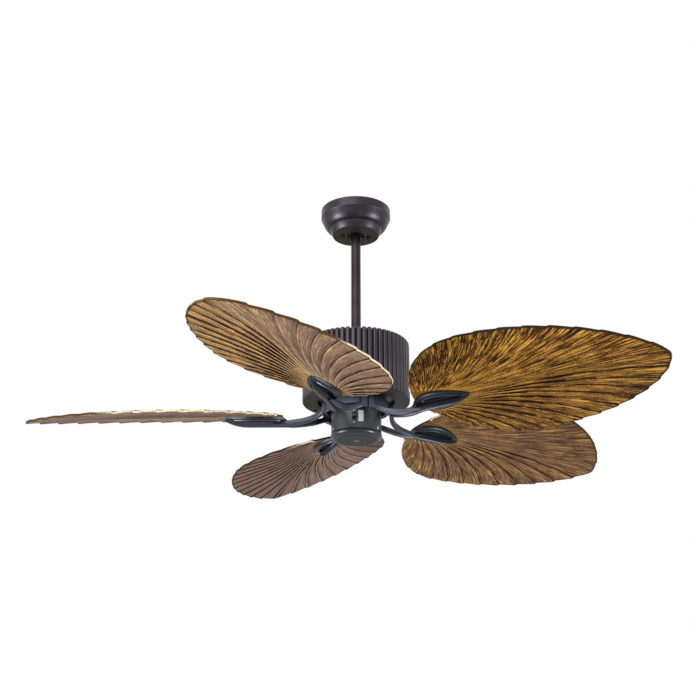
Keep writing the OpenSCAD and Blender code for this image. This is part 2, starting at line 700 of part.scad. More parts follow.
module bottom_cap() color(bronze) difference() {
    outer = cap_outline();
    lip_in_r = switch_in_r - slip - 2;
    union() {
        rotate_extrude() polygon(concat(outer, [[0, cap_bottom], [0, switch_bottom]]));
        translate([0, 0, switch_bottom - eps]) cylinder(r = switch_in_r - slip, h = cap_lip_h);
    }
    rotate_extrude() polygon(concat(
        [[lip_in_r, switch_bottom + cap_lip_h + 1], [lip_in_r, switch_bottom - 1.6],
            [switch_r - 1.1, switch_bottom - 2.4]],
        [for (i = [2:len(outer) - 1]) [outer[i][0] - switch_wall, outer[i][1] + switch_wall]],
        [[0, cap_bottom + switch_wall], [0, switch_bottom + cap_lip_h + 1]]));
    for (a = cap_screw_angles) rotate([0, 0, a]) translate([switch_in_r - 5, 0, cap_screw_z])
        rotate([0, 90, 0]) cylinder(r = 1.6, h = 8);
    translate([0, 0, cap_bottom - 1]) cylinder(r = 4.5, h = 5);
}

module cap_screws() color(zinc)
    for (a = cap_screw_angles) rotate([0, 0, a]) translate([switch_r, 0, cap_screw_z])
        rotate([0, 90, 0]) pan_screw(2.7, 1.3, 1.6 - screw_play, 5);

module cap_plug() color("#8c6d3a") translate([0, 0, cap_bottom]) {
    translate([0, 0, -1.2]) cylinder(r1 = 5.4, r2 = 6.6, h = 1.2);
    cylinder(r = 4.5 - slip, h = switch_wall + 1.5);
}

// Blade arms

// A point on a cubic curve
function bezier(p, t) = pow(1 - t, 3) * p[0] + 3 * pow(1 - t, 2) * t * p[1]
    + 3 * (1 - t) * pow(t, 2) * p[2] + pow(t, 3) * p[3];

foot_u = (seat_flat_r + foot_t * 0.5) * cos(foot_angle);
foot_v = (seat_flat_r + foot_t * 0.5) * sin(foot_angle);
prong_rise = 7.5;
neck_len = 16;
prong_overlap = 14;
prong_apart = 1.2;
// How a prong leaves its foot and arrives at the holder
prong_leave = [16.7, -28.4, -17.5];
prong_arrive = [-40, 5, -0.6];
prong_start = [foot_u, foot_v, foot_bottom + prong_rise];
neck_u = holder_root_u - neck_len;
prong_end = [holder_root_u + prong_overlap, prong_apart, prong_z];
prong_curve = [prong_start, prong_start + prong_leave, prong_end + prong_arrive, prong_end];

// Corners of a prong's section, across and up, as shares of its thickness and height
prong_section = [[0.5, -0.22], [0.5, 0.22], [0.25, 0.5], [-0.25, 0.5], [-0.5, 0.22], [-0.5, -0.22],
    [-0.25, -0.5], [0.25, -0.5]];

module prong(side) {
    steps = 12;
    ring = len(prong_section);
    points = [for (k = [0:steps]) let (
            t = k / steps,
            here = bezier(prong_curve, t),
            ahead = bezier(prong_curve, min(1, t + 0.02)) - bezier(prong_curve, max(0, t - 0.02)),
            flat = norm([ahead[0], ahead[1]]),
            across = [-ahead[1] / flat, ahead[0] / flat],
            thin = 1 - 0.55 * smooth((t - 0.7) / 0.3))
        for (s = prong_section) [
            here[0] + across[0] * s[0] * prong_t * thin,
            side * (here[1] + across[1] * s[0] * prong_t * thin),
            here[2] + s[1] * prong_h * thin]];
    tube_mesh(points, ring, steps, side > 0);
}

// A closed mesh of rings of points, each joined to the next
module tube_mesh(points, ring, steps, forward) {
    sides = [for (k = [0:steps - 1]) for (j = [0:ring - 1]) let (n = (j + 1) % ring)
        forward ? [k * ring + j, (k + 1) * ring + j, (k + 1) * ring + n, k * ring + n]
            : [k * ring + n, (k + 1) * ring + n, (k + 1) * ring + j, k * ring + j]];
    first = [for (j = [0:ring - 1]) forward ? j : ring - 1 - j];
    last = [for (j = [0:ring - 1]) steps * ring + (forward ? ring - 1 - j : j)];
    polyhedron(points, concat(sides, [first, last]));
}

// Half of the holder's section, from the blade to the keel: across and down, as shares
holder_half = [[1, 0], [0.97, 0.16], [0.86, 0.36], [0.74, 0.46], [0.5, 0.42], [0.2, 0.6], [0.14, 0.92], [0.05, 1]];
// The same at the holder's two ends, rounded with no recess
holder_end = [[1, 0], [0.98, 0.2], [0.92, 0.4], [0.82, 0.58], [0.68, 0.74], [0.5, 0.86], [0.3, 0.95], [0.1, 1]];
holder_len = holder_tip_u - holder_root_u;
holder_shares = [0, 0.03, 0.08, 0.15, 0.24, 0.34, 0.45, 0.56, 0.67, 0.77, 0.86, 0.94, 1];
holder_us = concat([neck_u, neck_u + 9], [for (s = holder_shares) holder_root_u + s * holder_len]);
function holder_half_w(u) = let (s = min(1, max(0, (u - holder_root_u) / holder_len)))
    max(s < 0.5 ? 5.2 : 1.4, holder_w / 2 * pow(sin(180 * pow(s, 0.82)), 0.76));
function holder_top(u) = -(prong_drop - prong_h / 2) * (1 - smooth((u - holder_root_u + 5) / 15));
function holder_keel(u) = -holder_depth * (1 - 0.62 * pow(max(0, (u - holder_tip_u + 48) / 48), 2.2));
function smooth(x) = let (c = min(1, max(0, x))) c * c * (3 - 2 * c);

module holder() {
    steps = len(holder_us) - 1;
    count = len(holder_half);
    points = [for (u = holder_us) let (
            w = holder_half_w(u),
            top = holder_top(u),
            deep = holder_keel(u) - top,
            half = u == holder_us[0] || u == holder_us[steps] ? holder_end : holder_half)
        for (j = [0:2 * count - 1]) let (
            right = j < count,
            h = half[right ? j : 2 * count - 1 - j])
            [u, (right ? 1 : -1) * h[0] * w, top + h[1] * deep]];
    translate([0, 0, blade_z]) rotate([-blade_pitch, 0, 0])
        tube_mesh(points, 2 * count, steps, false);
}

module blade_arm(i) color(dark_bronze) at_blade(i) difference() {
    union() {
        holder();
        for (side = [-1, 1]) {
            prong(side);
            rotate([0, 0, side * foot_angle]) translate([seat_flat_r, -foot_w / 2, foot_bottom])
                cube([foot_t, foot_w, foot_h]);
        }
    }
    for (side = [-1, 1]) rotate([0, 0, side * foot_angle]) translate([0, 0, arm_screw_z])
        rotate([0, 90, 0]) {
            cylinder(r = arm_screw_r + screw_play, h = foot_out + 1);
            translate([0, 0, foot_out - 2.6]) cylinder(r = 4.5, h = 4);
        }
    blade_seat() for (p = blade_screw_places) translate([p[0], p[1], -7])
        cylinder(r = blade_screw_r + screw_play, h = 16);
}

module arm_screws() color(steel)
    each_blade() for (side = [-1, 1]) rotate([0, 0, side * foot_angle])
        translate([foot_out - 2.6, 0, arm_screw_z]) rotate([0, 90, 0])
            pan_screw(4.2, 2.4, arm_screw_r, foot_t + 5);

// Blades

// The tilted plane on which a blade lies on its holder
module blade_seat() {
    translate([0, 0, blade_z]) rotate([-blade_pitch, 0, 0]) children();
}

// A point on the rim at an angle that runs from the tip, 0, towards the root, 180
function rim_point(a) = a < 90
    ? [widest_r + (tip_r - widest_r) * cos(a), blade_w / 2 * pow(sin(a), 2 * tip_power)]
    : [widest_r + (widest_r - root_r) * cos(a), blade_w / 2 * pow(sin(a), 2 * root_power)];

// Length along the rim against the angle, for equal steps along the rim
rim_steps = 80;
rim_table = [for (
    k = 0, s = 0;
    k <= rim_steps;
    s = s + norm(rim_point(last_rim_angle * (k + 1) / rim_steps) - rim_point(last_rim_angle * k / rim_steps)),
    k = k + 1) [s, last_rim_angle * k / rim_steps]];
rim_length = rim_table[rim_steps][0];

// A rib runs from the flat tab to the rim, bent so that it meets the rim more squarely
function rib_start(q) = [tab_end_u - (tab_end_u - root_r - 11) * q, 42 * pow(q, 0.6)];
function rib_bend(a, b, q) = let (d = b - a, turn = -17 * sin(180 * pow(q, 0.8)))
    a + 0.5 * [d[0] * cos(turn) - d[1] * sin(turn), d[0] * sin(turn) + d[1] * cos(turn)];
function rib_point(q, t) = let (
    a = rib_start(q),
    b = rim_point(lookup(rim_length * q, rim_table)),
    c = rib_bend(a, b, q))
    pow(1 - t, 2) * a + 2 * (1 - t) * t * c + pow(t, 2) * b;

// Height of the blade's middle surface
function droop_at(u) = leaf_lift - blade_droop * pow(max(0, (u - widest_r) / (tip_r - widest_r)), 2);

rib_rings = 6;
module leaf_solid() {
    half = 2 * pleat_count;
    columns = 2 * half + 1;
    shares = [for (k = [0:rib_rings]) pow(k / rib_rings, 1.2)];
    // Middle surface: columns from one root corner round the tip to the other
    mid = [for (c = [0:columns - 1]) for (t = shares) let (
            q = abs(c - half) / half,
            side = c < half ? 1 : -1,
            p = rib_point(q, t * (c % 2 == 0 ? 1 : 0.996)),
            wave = (c % 2 == 0 ? -0.5 : 0.5) * pleat_h * smooth(t * 2.5) * (0.45 + 0.55 * t))
        [p[0], side * p[1], droop_at(p[0]) + wave]];
    rows = rib_rings + 1;
    // The tab's rounded root end
    bend = [for (a = [166, 173, 180]) rim_point(a)];
    root_end = [for (p = concat(bend, [[bend[1][0], -bend[1][1]], [bend[0][0], -bend[0][1]]]))
        [p[0], p[1], leaf_lift]];
    all_mid = concat(mid, root_end);
    n = len(all_mid);
    points = concat(
        [for (p = all_mid) p + [0, 0, blade_t / 2]],
        [for (p = all_mid) p - [0, 0, blade_t / 2]]);
    top = [for (c = [0:columns - 2]) for (k = [0:rib_rings - 1]) for (half_quad = [0, 1]) let (
            a = c * rows + k, b = a + rows)
        half_quad == 0 ? [a, b, b + 1] : [a, b + 1, a + 1]];
    root_line = concat([0], [for (k = [0:len(root_end) - 1]) len(mid) + k], [(columns - 1) * rows]);
    tab = concat([for (c = [columns - 1:-1:1]) c * rows], [for (k = [0:len(root_line) - 2]) root_line[k]]);
    rim = [for (c = [0:columns - 2]) let (a = c * rows + rib_rings, b = a + rows)
        [a, b, b + n, a + n]];
    first = [for (k = [0:rib_rings - 1]) [k, k + 1, k + 1 + n, k + n]];
    end = (columns - 1) * rows;
    last = [for (k = [0:rib_rings - 1]) [end + k + 1, end + k, end + k + n, end + k + 1 + n]];
    root = [for (k = [0:len(root_line) - 2]) let (a = root_line[k], b = root_line[k + 1])
        [b, a, a + n, b + n]];
    polyhedron(points, concat(
        top,
        [for (f = top) [f[2] + n, f[1] + n, f[0] + n]],
        [tab],
        [[for (k = [len(tab) - 1:-1:0]) tab[k] + n]],
        rim, first, last, root));
}

module leaf_blade(i) color(leaf_brown) at_blade(i) blade_seat() difference() {
    leaf_solid();
    for (p = blade_screw_places) translate([p[0], p[1], -5])
        cylinder(r = blade_screw_r + screw_play, h = 20);
}

module blade_screws() color(steel)
    each_blade() blade_seat() for (p = blade_screw_places)
        translate([p[0], p[1], leaf_lift + blade_t / 2]) pan_screw(4.6, 2.4, blade_screw_r, blade_t + 6.5);

hanger_bracket();
canopy();
canopy_screws();
receiver_box();
hanger_ball();
ball_cross_pin();
ball_set_screw();
downrod();
lead_bundle();
coupling_cover();
coupling();
clevis_pin();
hairpin_clip();
coupling_set_screws();
motor_shaft();
stator_core();
stator_windings();
upper_inner_ring();
lower_inner_ring();
motor_housing();
housing_top_screws();
base_plate();
base_plate_screws();
switch_housing();
shaft_nut();
capacitor();
switch_body();
switch_screws();
switch_plate();
bottom_cap();
cap_screws();
cap_plug();
switch_slider();
rotor_ring();
rotor_top_cover();
rotor_bottom_cover();
rotor_bolts();
upper_outer_ring();
lower_outer_ring();
upper_ball_cage();
lower_ball_cage();
flywheel();
flywheel_screws();
arm_screws();
blade_screws();
blade_arm(1);  // blade_arm_1
blade_arm(2);  // blade_arm_2
blade_arm(3);  // blade_arm_3
blade_arm(4);  // blade_arm_4
blade_arm(5);  // blade_arm_5
leaf_blade(1);  // leaf_blade_1
leaf_blade(2);  // leaf_blade_2
leaf_blade(3);  // leaf_blade_3
leaf_blade(4);  // leaf_blade_4
leaf_blade(5);  // leaf_blade_5
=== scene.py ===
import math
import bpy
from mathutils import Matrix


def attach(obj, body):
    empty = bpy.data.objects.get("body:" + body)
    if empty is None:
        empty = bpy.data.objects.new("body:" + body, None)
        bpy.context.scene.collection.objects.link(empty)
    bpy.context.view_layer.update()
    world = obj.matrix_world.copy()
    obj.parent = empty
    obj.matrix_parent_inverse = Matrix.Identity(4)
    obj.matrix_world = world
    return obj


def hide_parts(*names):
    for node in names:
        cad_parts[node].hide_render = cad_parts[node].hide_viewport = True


bl_info = {
    "name": "Palm-leaf ceiling fan",
    "version": (1, 0, 0),
    "blender": (4, 5, 0),
    "location": "3D View > Sidebar > Fan",
    "description": "Dresses a packed ceiling fan with five pleated palm-leaf blades",
    "category": "Object",
}

import bmesh
import bpy
from bpy.props import FloatProperty, FloatVectorProperty, IntProperty, PointerProperty
from mathutils import Matrix, Vector

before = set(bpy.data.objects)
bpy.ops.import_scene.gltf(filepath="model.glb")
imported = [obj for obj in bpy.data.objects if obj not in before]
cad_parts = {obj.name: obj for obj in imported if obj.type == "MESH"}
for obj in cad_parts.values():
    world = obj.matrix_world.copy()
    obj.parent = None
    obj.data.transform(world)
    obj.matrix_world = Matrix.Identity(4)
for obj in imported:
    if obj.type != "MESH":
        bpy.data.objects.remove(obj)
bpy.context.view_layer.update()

IMAGE_WIDTH = 696
SENSOR_WIDTH = 36.0
BLADES = (1, 2, 3, 4, 5)
FIRST_BLADE = math.radians(36)
# Scales of a paint's clouds and grain, and the depth of its orange peel
PAINT_CLOUDS = 18.0
PAINT_GRAIN = 900.0
ORANGE_PEEL = 0.00008
# Half the height over which one finish gives way to another
FINISH_EDGE = 0.0008
# Radians per metre whose sine has a bump for each sheet, half a millimetre thick
SHEET_WAVES = 6283.0
# A leaf's attributes, by which its painted sheen, the strength of its painted shadow lines and its painted
# light level vary
LEAF_TONES = ("weathered", "marked", "bleached")
# Slots of a leaf's and of an arm's further materials. An arm's two are darker paints, painted shade in its
# recess and on its flange.
CUT_EDGE, RIM_LINE = 1, 2
RECESS_SHADE, FLANGE_SHADE = 1, 2


def length(name, description, default):
    return FloatProperty(name=name, description=description, default=default, unit="LENGTH", precision=4)


def turn(name, description, degrees):
    return FloatProperty(name=name, description=description, default=math.radians(degrees), unit="ROTATION")


def paint(name, description, default):
    return FloatVectorProperty(
        name=name, description=description, default=default, subtype="COLOR", size=3, min=0.0, max=1.0)


class FanSizes(bpy.types.PropertyGroup):
    """Sizes of the pieces that are modelled here, and levels where a paint changes"""

    blade_tip: length("Blade tip", "Distance of a blade's tip from the fan's axis", 0.660)
    blade_root: length("Blade root", "Distance of a blade's root from the fan's axis", 0.146)
    blade_widest: length("Widest place", "Distance of a blade's widest place from the axis", 0.335)
    blade_width: length("Blade width", "Width of a blade", 0.343)
    blade_thickness: length("Blade thickness", "Thickness of a blade", 0.0035)
    blade_pitch: turn("Blade pitch", "Tilt of a blade about its length", 14)
    blade_droop: length("Blade droop", "How far a blade's tip hangs below its middle", 0.0115)
    blade_level: length("Blade level", "Height of the plane that the blades lie on", -0.458)
    pleats: IntProperty(name="Pleats", description="Pleats on each side of a blade", default=14)
    pleat_height: length("Pleat height", "Height of a pleat at its highest", 0.0040)
    holder_start: length("Holder start", "Where the leaf-shaped holder starts, from the axis", 0.137)
    holder_end: length("Holder tip", "Where the leaf-shaped holder ends, from the axis", 0.262)
    holder_width: length("Holder width", "Width of the leaf-shaped holder", 0.059)
    holder_depth: length("Holder depth", "Depth of the holder's keel below the blade", 0.0205)
    prong_width: length("Prong width", "Thickness of an arm's prong", 0.0085)
    prong_height: length("Prong height", "Height of an arm's prong", 0.012)
    foot_angle: turn("Foot angle", "Angle between an arm's middle and its feet", 30.7)
    drum_radius: length("Drum radius", "Radius of the motor housing between its ribs", 0.105)
    rib_reach: length("Rib reach", "Radius over the motor housing's ribs", 0.108)
    ribs: IntProperty(name="Ribs", description="Upright ribs around the motor housing", default=60)
    drum_top: length("Drum top", "Height of the motor housing's top", -0.303)
    drum_bottom: length("Drum bottom", "Height of the motor housing's lower edge", -0.4255)
    drum_shoulder: length("Drum shoulder", "Rounding of the motor housing's top edge", 0.007)
    # Below this level the canopy's dark matt paint is painted shade on its downward face
    canopy_face: length("Canopy face", "Height below which the canopy shows its primer", -0.0565)
    cap_face: length("Cap face", "Height below which the bottom cap is matt", -0.5055)


class FanFinishes(bpy.types.PropertyGroup):
    """Colours of the finishes"""

    leaf_gold: paint("Leaf gold", "Light fibres of a blade", (0.335, 0.175, 0.027))
    leaf_brown: paint("Leaf brown", "Middle tone of a blade", (0.152, 0.059, 0.010))
    # Leaf dark is also the painted shade in the pleats' valleys and in the gaps between their starts
    leaf_dark: paint("Leaf dark", "Dark fibres and valleys of a blade", (0.015, 0.0056, 0.0014))
    # Leaf taupe is the tone of the painted sheen, which greys a blade's half as if it mirrored the pale
    # surroundings
    leaf_taupe: paint("Leaf taupe", "Weathered tone of a blade", (0.222, 0.147, 0.117))
    leaf_rim: paint("Leaf rim", "Dark line along a blade's rim", (0.020, 0.012, 0.008))
    leaf_cut: paint("Leaf cut edge", "Pale cut edge of a blade", (0.95, 0.84, 0.58))
    bronze: paint("Bronze paint", "Paint of canopy, coupling cover and housing", (0.047, 0.041, 0.050))
    rod: paint("Rod paint", "Paint of the rod", (0.038, 0.031, 0.033))
    graphite: paint("Graphite paint", "Paint of the switch housing", (0.072, 0.074, 0.082))
    charcoal: paint("Charcoal paint", "Paint of the blade arms", (0.067, 0.072, 0.092))
    plate: paint("Plate paint", "Paint of the base plate", (0.040, 0.036, 0.027))
    # The canopy's downward face is painted this dark as painted shade
    underside_shade: paint("Primer", "Primer on the canopy's lower face", (0.010, 0.0095, 0.007))
    cap_dark: paint("Cap dark", "Dark clouds on the bottom cap's face", (0.026, 0.028, 0.031))
    cap_light: paint("Cap light", "Light clouds on the bottom cap's face", (0.038, 0.040, 0.043))
    # On the hanger ball this black is painted shade, for the dark hole round the rod in the canopy
    black: paint("Black finish", "Blackened screws and the hanger ball", (0.007, 0.007, 0.007))
    steel: paint("Plated steel", "Brackets, pins and screws", (0.34, 0.34, 0.35))
    zinc: paint("Zinc casting", "Coupling and rotor cover", (0.36, 0.36, 0.35))
    bright: paint("Bright zinc", "Screws of the bottom cap", (0.78, 0.78, 0.76))
    brass: paint("Brass", "Plug of the bottom cap", (0.17, 0.125, 0.05))
    copper: paint("Winding copper", "Enamelled windings", (0.36, 0.13, 0.045))
    slider: paint("Slider", "Plastic of the switch's slider", (0.030, 0.030, 0.032))
    blank: paint("Blank plate", "Plastic of the plate beside the switch", (0.60, 0.61, 0.62))
    floor: paint("Floor", "The stage's floor", (0.62, 0.62, 0.62))


class Number:
    """A number on its way through a node tree. Python's operators add Math nodes."""

    def __init__(self, nodes, socket):
        self.nodes = nodes
        self.socket = socket

    def math(self, operation, *others, clamp=False):
        values = dict(enumerate((self,) + others))
        return self.nodes.number("ShaderNodeMath", {"operation": operation, "use_clamp": clamp}, values)

    def __add__(self, other):
        return self.math("ADD", other)

    __radd__ = __add__

    def __sub__(self, other):
        return self.math("SUBTRACT", other)

    def __rsub__(self, other):
        return (self * -1.0) + other

    def __mul__(self, other):
        return self.math("MULTIPLY", other)

    __rmul__ = __mul__

    def __abs__(self):
        return self.math("ABSOLUTE")

    def clamped(self):
        return self.math("ADD", 0.0, clamp=True)

    def between(self, low, high):
        """0 below low, 1 above high, and smooth between them"""
        return self.nodes.number(
            "ShaderNodeMapRange", {"interpolation_type": "SMOOTHSTEP"},
            {"Value": self, "From Min": low, "From Max": high, "To Min": 0.0, "To Max": 1.0})

    def band(self, start, full, fading, end):
        """1 from full to fading, 0 before start and after end"""
        return self.between(start, full) * (1.0 - self.between(fading, end))


class Nodes:
    """The node tree of a material or of the world, emptied"""

    def __init__(self, tree):
        self.tree = tree
        self.tree.nodes.clear()

    def fill(self, socket, value):
        """Links a socket, or sets its number, vector or colour"""
        if isinstance(value, Number):
            value = value.socket
        if isinstance(value, bpy.types.NodeSocket):
            self.tree.links.new(value, socket)
        elif socket.type == "RGBA":
            socket.default_value = tuple(value)[:3] + (1.0,)
        else:
            socket.default_value = value

    def node(self, kind, settings=None, values=None):
        """A node of this kind, its settings first, then the values or links of its sockets"""
        node = self.tree.nodes.new(kind)
        for key, value in (settings or {}).items():
            if key == "stops":
                ramp = node.color_ramp
                while len(ramp.elements) < len(value):
                    ramp.elements.new(0.5)
                for element, (place, colour) in zip(ramp.elements, value):
                    element.position = place
                    element.color = tuple(colour) + (1.0,)
            else:
                setattr(node, key, value)
        for key, value in (values or {}).items():
            self.fill(node.inputs[key], value)
        return node

    def number(self, kind, settings=None, values=None, output=0):
        """A node of this kind, as the number that it gives"""
        return Number(self, self.node(kind, settings, values).outputs[output])

    def in_sight(self):
        """1 for rays that show a thing, straight, mirrored or through glass, and 0 for its light"""
        straight, mirrored, through = [
            self.number("ShaderNodeLightPath", output=f"Is {ray} Ray")
            for ray in ("Camera", "Glossy", "Transmission")]
        return (straight + mirrored + through).clamped()


class Finish(Nodes):
    """A material that is built from nodes"""

    def __init__(self, name):
        self.material = bpy.data.materials.new(name)
        self.material.use_nodes = True
        super().__init__(self.material.node_tree)
        self.shader = self.node("ShaderNodeBsdfPrincipled")
        self.output = self.node("ShaderNodeOutputMaterial", None, {"Surface": self.shader.outputs[0]})

    def place(self):
        """Object coordinates, in metres"""
        return self.node("ShaderNodeTexCoord").outputs["Object"]

    def veins(self):
        """A leaf's own coordinates, across its ribs and along them"""
        return self.node("ShaderNodeUVMap", {"uv_map": "veins"}).outputs["UV"]

    def part(self, vector, axis):
        return self.number("ShaderNodeSeparateXYZ", None, {"Vector": vector}, axis)

    def above(self, level):
        return self.part(self.place(), "Z").between(level - FINISH_EDGE, level + FINISH_EDGE)

    def attribute(self, name):
        return self.number("ShaderNodeAttribute", {"attribute_name": name}, output="Fac")

    def noise(self, scale, detail=3.0, roughness=0.55, distortion=0.0, where=None):
        return self.number("ShaderNodeTexNoise", None, {
            "Vector": where or self.place(), "Scale": scale, "Detail": detail, "Roughness": roughness,
            "Distortion": distortion})

    def drawn_noise(self, where, stretch, detail, roughness, distortion=0.0):
        """Noise whose scale differs along the three axes"""
        drawn = self.node("ShaderNodeMapping", None, {"Vector": where, "Scale": stretch})
        return self.noise(1.0, detail, roughness, distortion, drawn.outputs["Vector"])

    def mixed(self, factor, first, second, blend="MIX"):
        settings = {"data_type": "RGBA", "blend_type": blend}
        return self.node("ShaderNodeMix", settings, {0: factor, 6: first, 7: second}).outputs[2]

    def bump(self, height, depth, strength=0.6):
        values = {"Height": height, "Distance": depth, "Strength": strength}
        return self.node("ShaderNodeBump", None, values).outputs["Normal"]

    def coat(self, clouds=PAINT_CLOUDS):
        """The cloudiness and the fine grain of a paint"""
        return self.noise(clouds), self.noise(PAINT_GRAIN, 2.0, 0.7)

    def cloudy(self, cloud, colour, darkest=0.85, lightest=1.18):
        return self.mixed(cloud.between(0.3, 0.7), shade(colour, darkest), shade(colour, lightest))

    def surface(self, **values):
        """Sets or links the shader's sockets, whose names are written with underscores"""
        for key, value in values.items():
            self.fill(self.shader.inputs[key.replace("_", " ")], value)
        return self.material


def shade(colour, factor):
    return tuple(min(1.0, c * factor) for c in colour)


def painted_metal(name, colour, roughness, specular, orange_peel=ORANGE_PEEL, metallic=0.0):
    """Satin paint on a casting or spinning, with a fine orange peel and a faint cloudiness"""
    f = Finish(name)
    cloud, grain = f.coat()
    return f.surface(
        Base_Color=f.cloudy(cloud, colour),
        Metallic=metallic,
        Roughness=cloud * 0.10 + grain * 0.08 + (roughness - 0.09),
        Specular_IOR_Level=specular,
        Normal=f.bump(grain, orange_peel))


def ribbed_paint(name, colour, groove, crest):
    """Metallic paint on upright ribs, lighter on the crests, with painted shade darkening the grooves
    between them, which are also rougher
    """
    f = Finish(name)
    flat = f.node("ShaderNodeVectorMath", {"operation": "MULTIPLY"}, {0: f.place(), 1: (1.0, 1.0, 0.0)})
    radius = f.number("ShaderNodeVectorMath", {"operation": "LENGTH"}, {0: flat.outputs[0]}, "Value")
    proud = radius.between(groove, groove + (crest - groove) * 0.8)
    cloud, grain = f.coat()
    return f.surface(
        # Painted shade: the grooves take a third of the paint's colour
        Base_Color=f.mixed(proud, shade(colour, 0.30), f.cloudy(cloud, colour, 1.15, 1.6)),
        Metallic=0.95,
        Roughness=cloud * 0.10 + grain * 0.08 + (0.40 - proud * 0.15),
        Specular_IOR_Level=0.3,
        Normal=f.bump(grain, ORANGE_PEEL))


def two_tone(name, colour, underside_shade, level):
    """Metallic paint, with dark matt paint on the face below a level, dark there as painted shade"""
    f = Finish(name)
    side = f.above(level)
    cloud, grain = f.coat()
    return f.surface(
        # Painted shade: the face below the level takes the dark paint
        Base_Color=f.mixed(side, underside_shade, f.cloudy(cloud, colour)),
        Metallic=side * 0.95,
        Roughness=cloud * 0.10 + grain * 0.08 + (0.50 - side * 0.22),
        Specular_IOR_Level=0.30,
        Normal=f.bump(grain, ORANGE_PEEL))


def glossy_rim(name, colour, dark, light, level):
    """Paint that is glossy above a level, and matt and cloudy on the flat face below it"""
    f = Finish(name)
    rim = f.above(level)
    cloud, grain = f.coat(30.0)
    return f.surface(
        Base_Color=f.mixed(rim, f.mixed(cloud, dark, light), shade(colour, 0.35)),
        Roughness=grain * 0.1 + (0.62 - rim * 0.25),
        Specular_IOR_Level=0.12,
        Coat_Weight=rim * 0.6,
        Coat_Roughness=0.30,
        Normal=f.bump(grain, ORANGE_PEEL))


def bare_metal(name, colour, roughness, brush=(60.0, 60.0, 900.0)):
    """Plated or machined metal with fine tool marks"""
    f = Finish(name)
    marks = f.drawn_noise(f.place(), brush, 4.0, 0.6)
    cloud = f.noise(40.0)
    return f.surface(
        Base_Color=f.mixed(cloud, shade(colour, 0.78), shade(colour, 1.15)),
        Metallic=1.0,
        Roughness=marks * 0.16 + cloud * 0.10 + (roughness - 0.12),
        Normal=f.bump(marks, 0.00005, 0.5))


def moulded_plastic(name, colour, roughness=0.45):
    """Moulded plastic with a fine spark-eroded grain"""
    f = Finish(name)
    grain = f.noise(1400.0, 2.0, 0.6)
    cloud = f.noise(25.0, 2.0)
    return f.surface(
        Base_Color=f.mixed(cloud, shade(colour, 0.92), shade(colour, 1.06)),
        Roughness=grain * 0.12 + (roughness - 0.06),
        Normal=f.bump(grain, 0.00004))


def laminated_steel(name):
    """Stacked sheets of motor steel, seen on edge"""
    f = Finish(name)
    sheets = abs((f.part(f.place(), "Z") * SHEET_WAVES).math("SINE"))
    spots = f.noise(120.0, 4.0)
    return f.surface(
        Base_Color=f.mixed(spots.between(0.45, 0.75), (0.20, 0.20, 0.21), (0.16, 0.11, 0.08)),
        Metallic=0.9,
        Roughness=sheets * 0.15 + 0.35,
        Normal=f.bump(sheets, 0.0001))


def wound_copper(name, colour):
    """Enamelled wire, wound in turns"""
    f = Finish(name)
    wire = f.number(
        "ShaderNodeTexWave", {"wave_type": "RINGS", "rings_direction": "Z"},
        {"Vector": f.place(), "Scale": 260.0, "Distortion": 1.5, "Detail": 1.0}, "Fac")
    return f.surface(
        Base_Color=f.mixed(wire, shade(colour, 0.45), shade(colour, 1.2)),
        Metallic=0.6,
        Roughness=0.34 + wire * 0.1,
        Coat_Weight=0.5,
        Normal=f.bump(wire, 0.0003, 0.8))


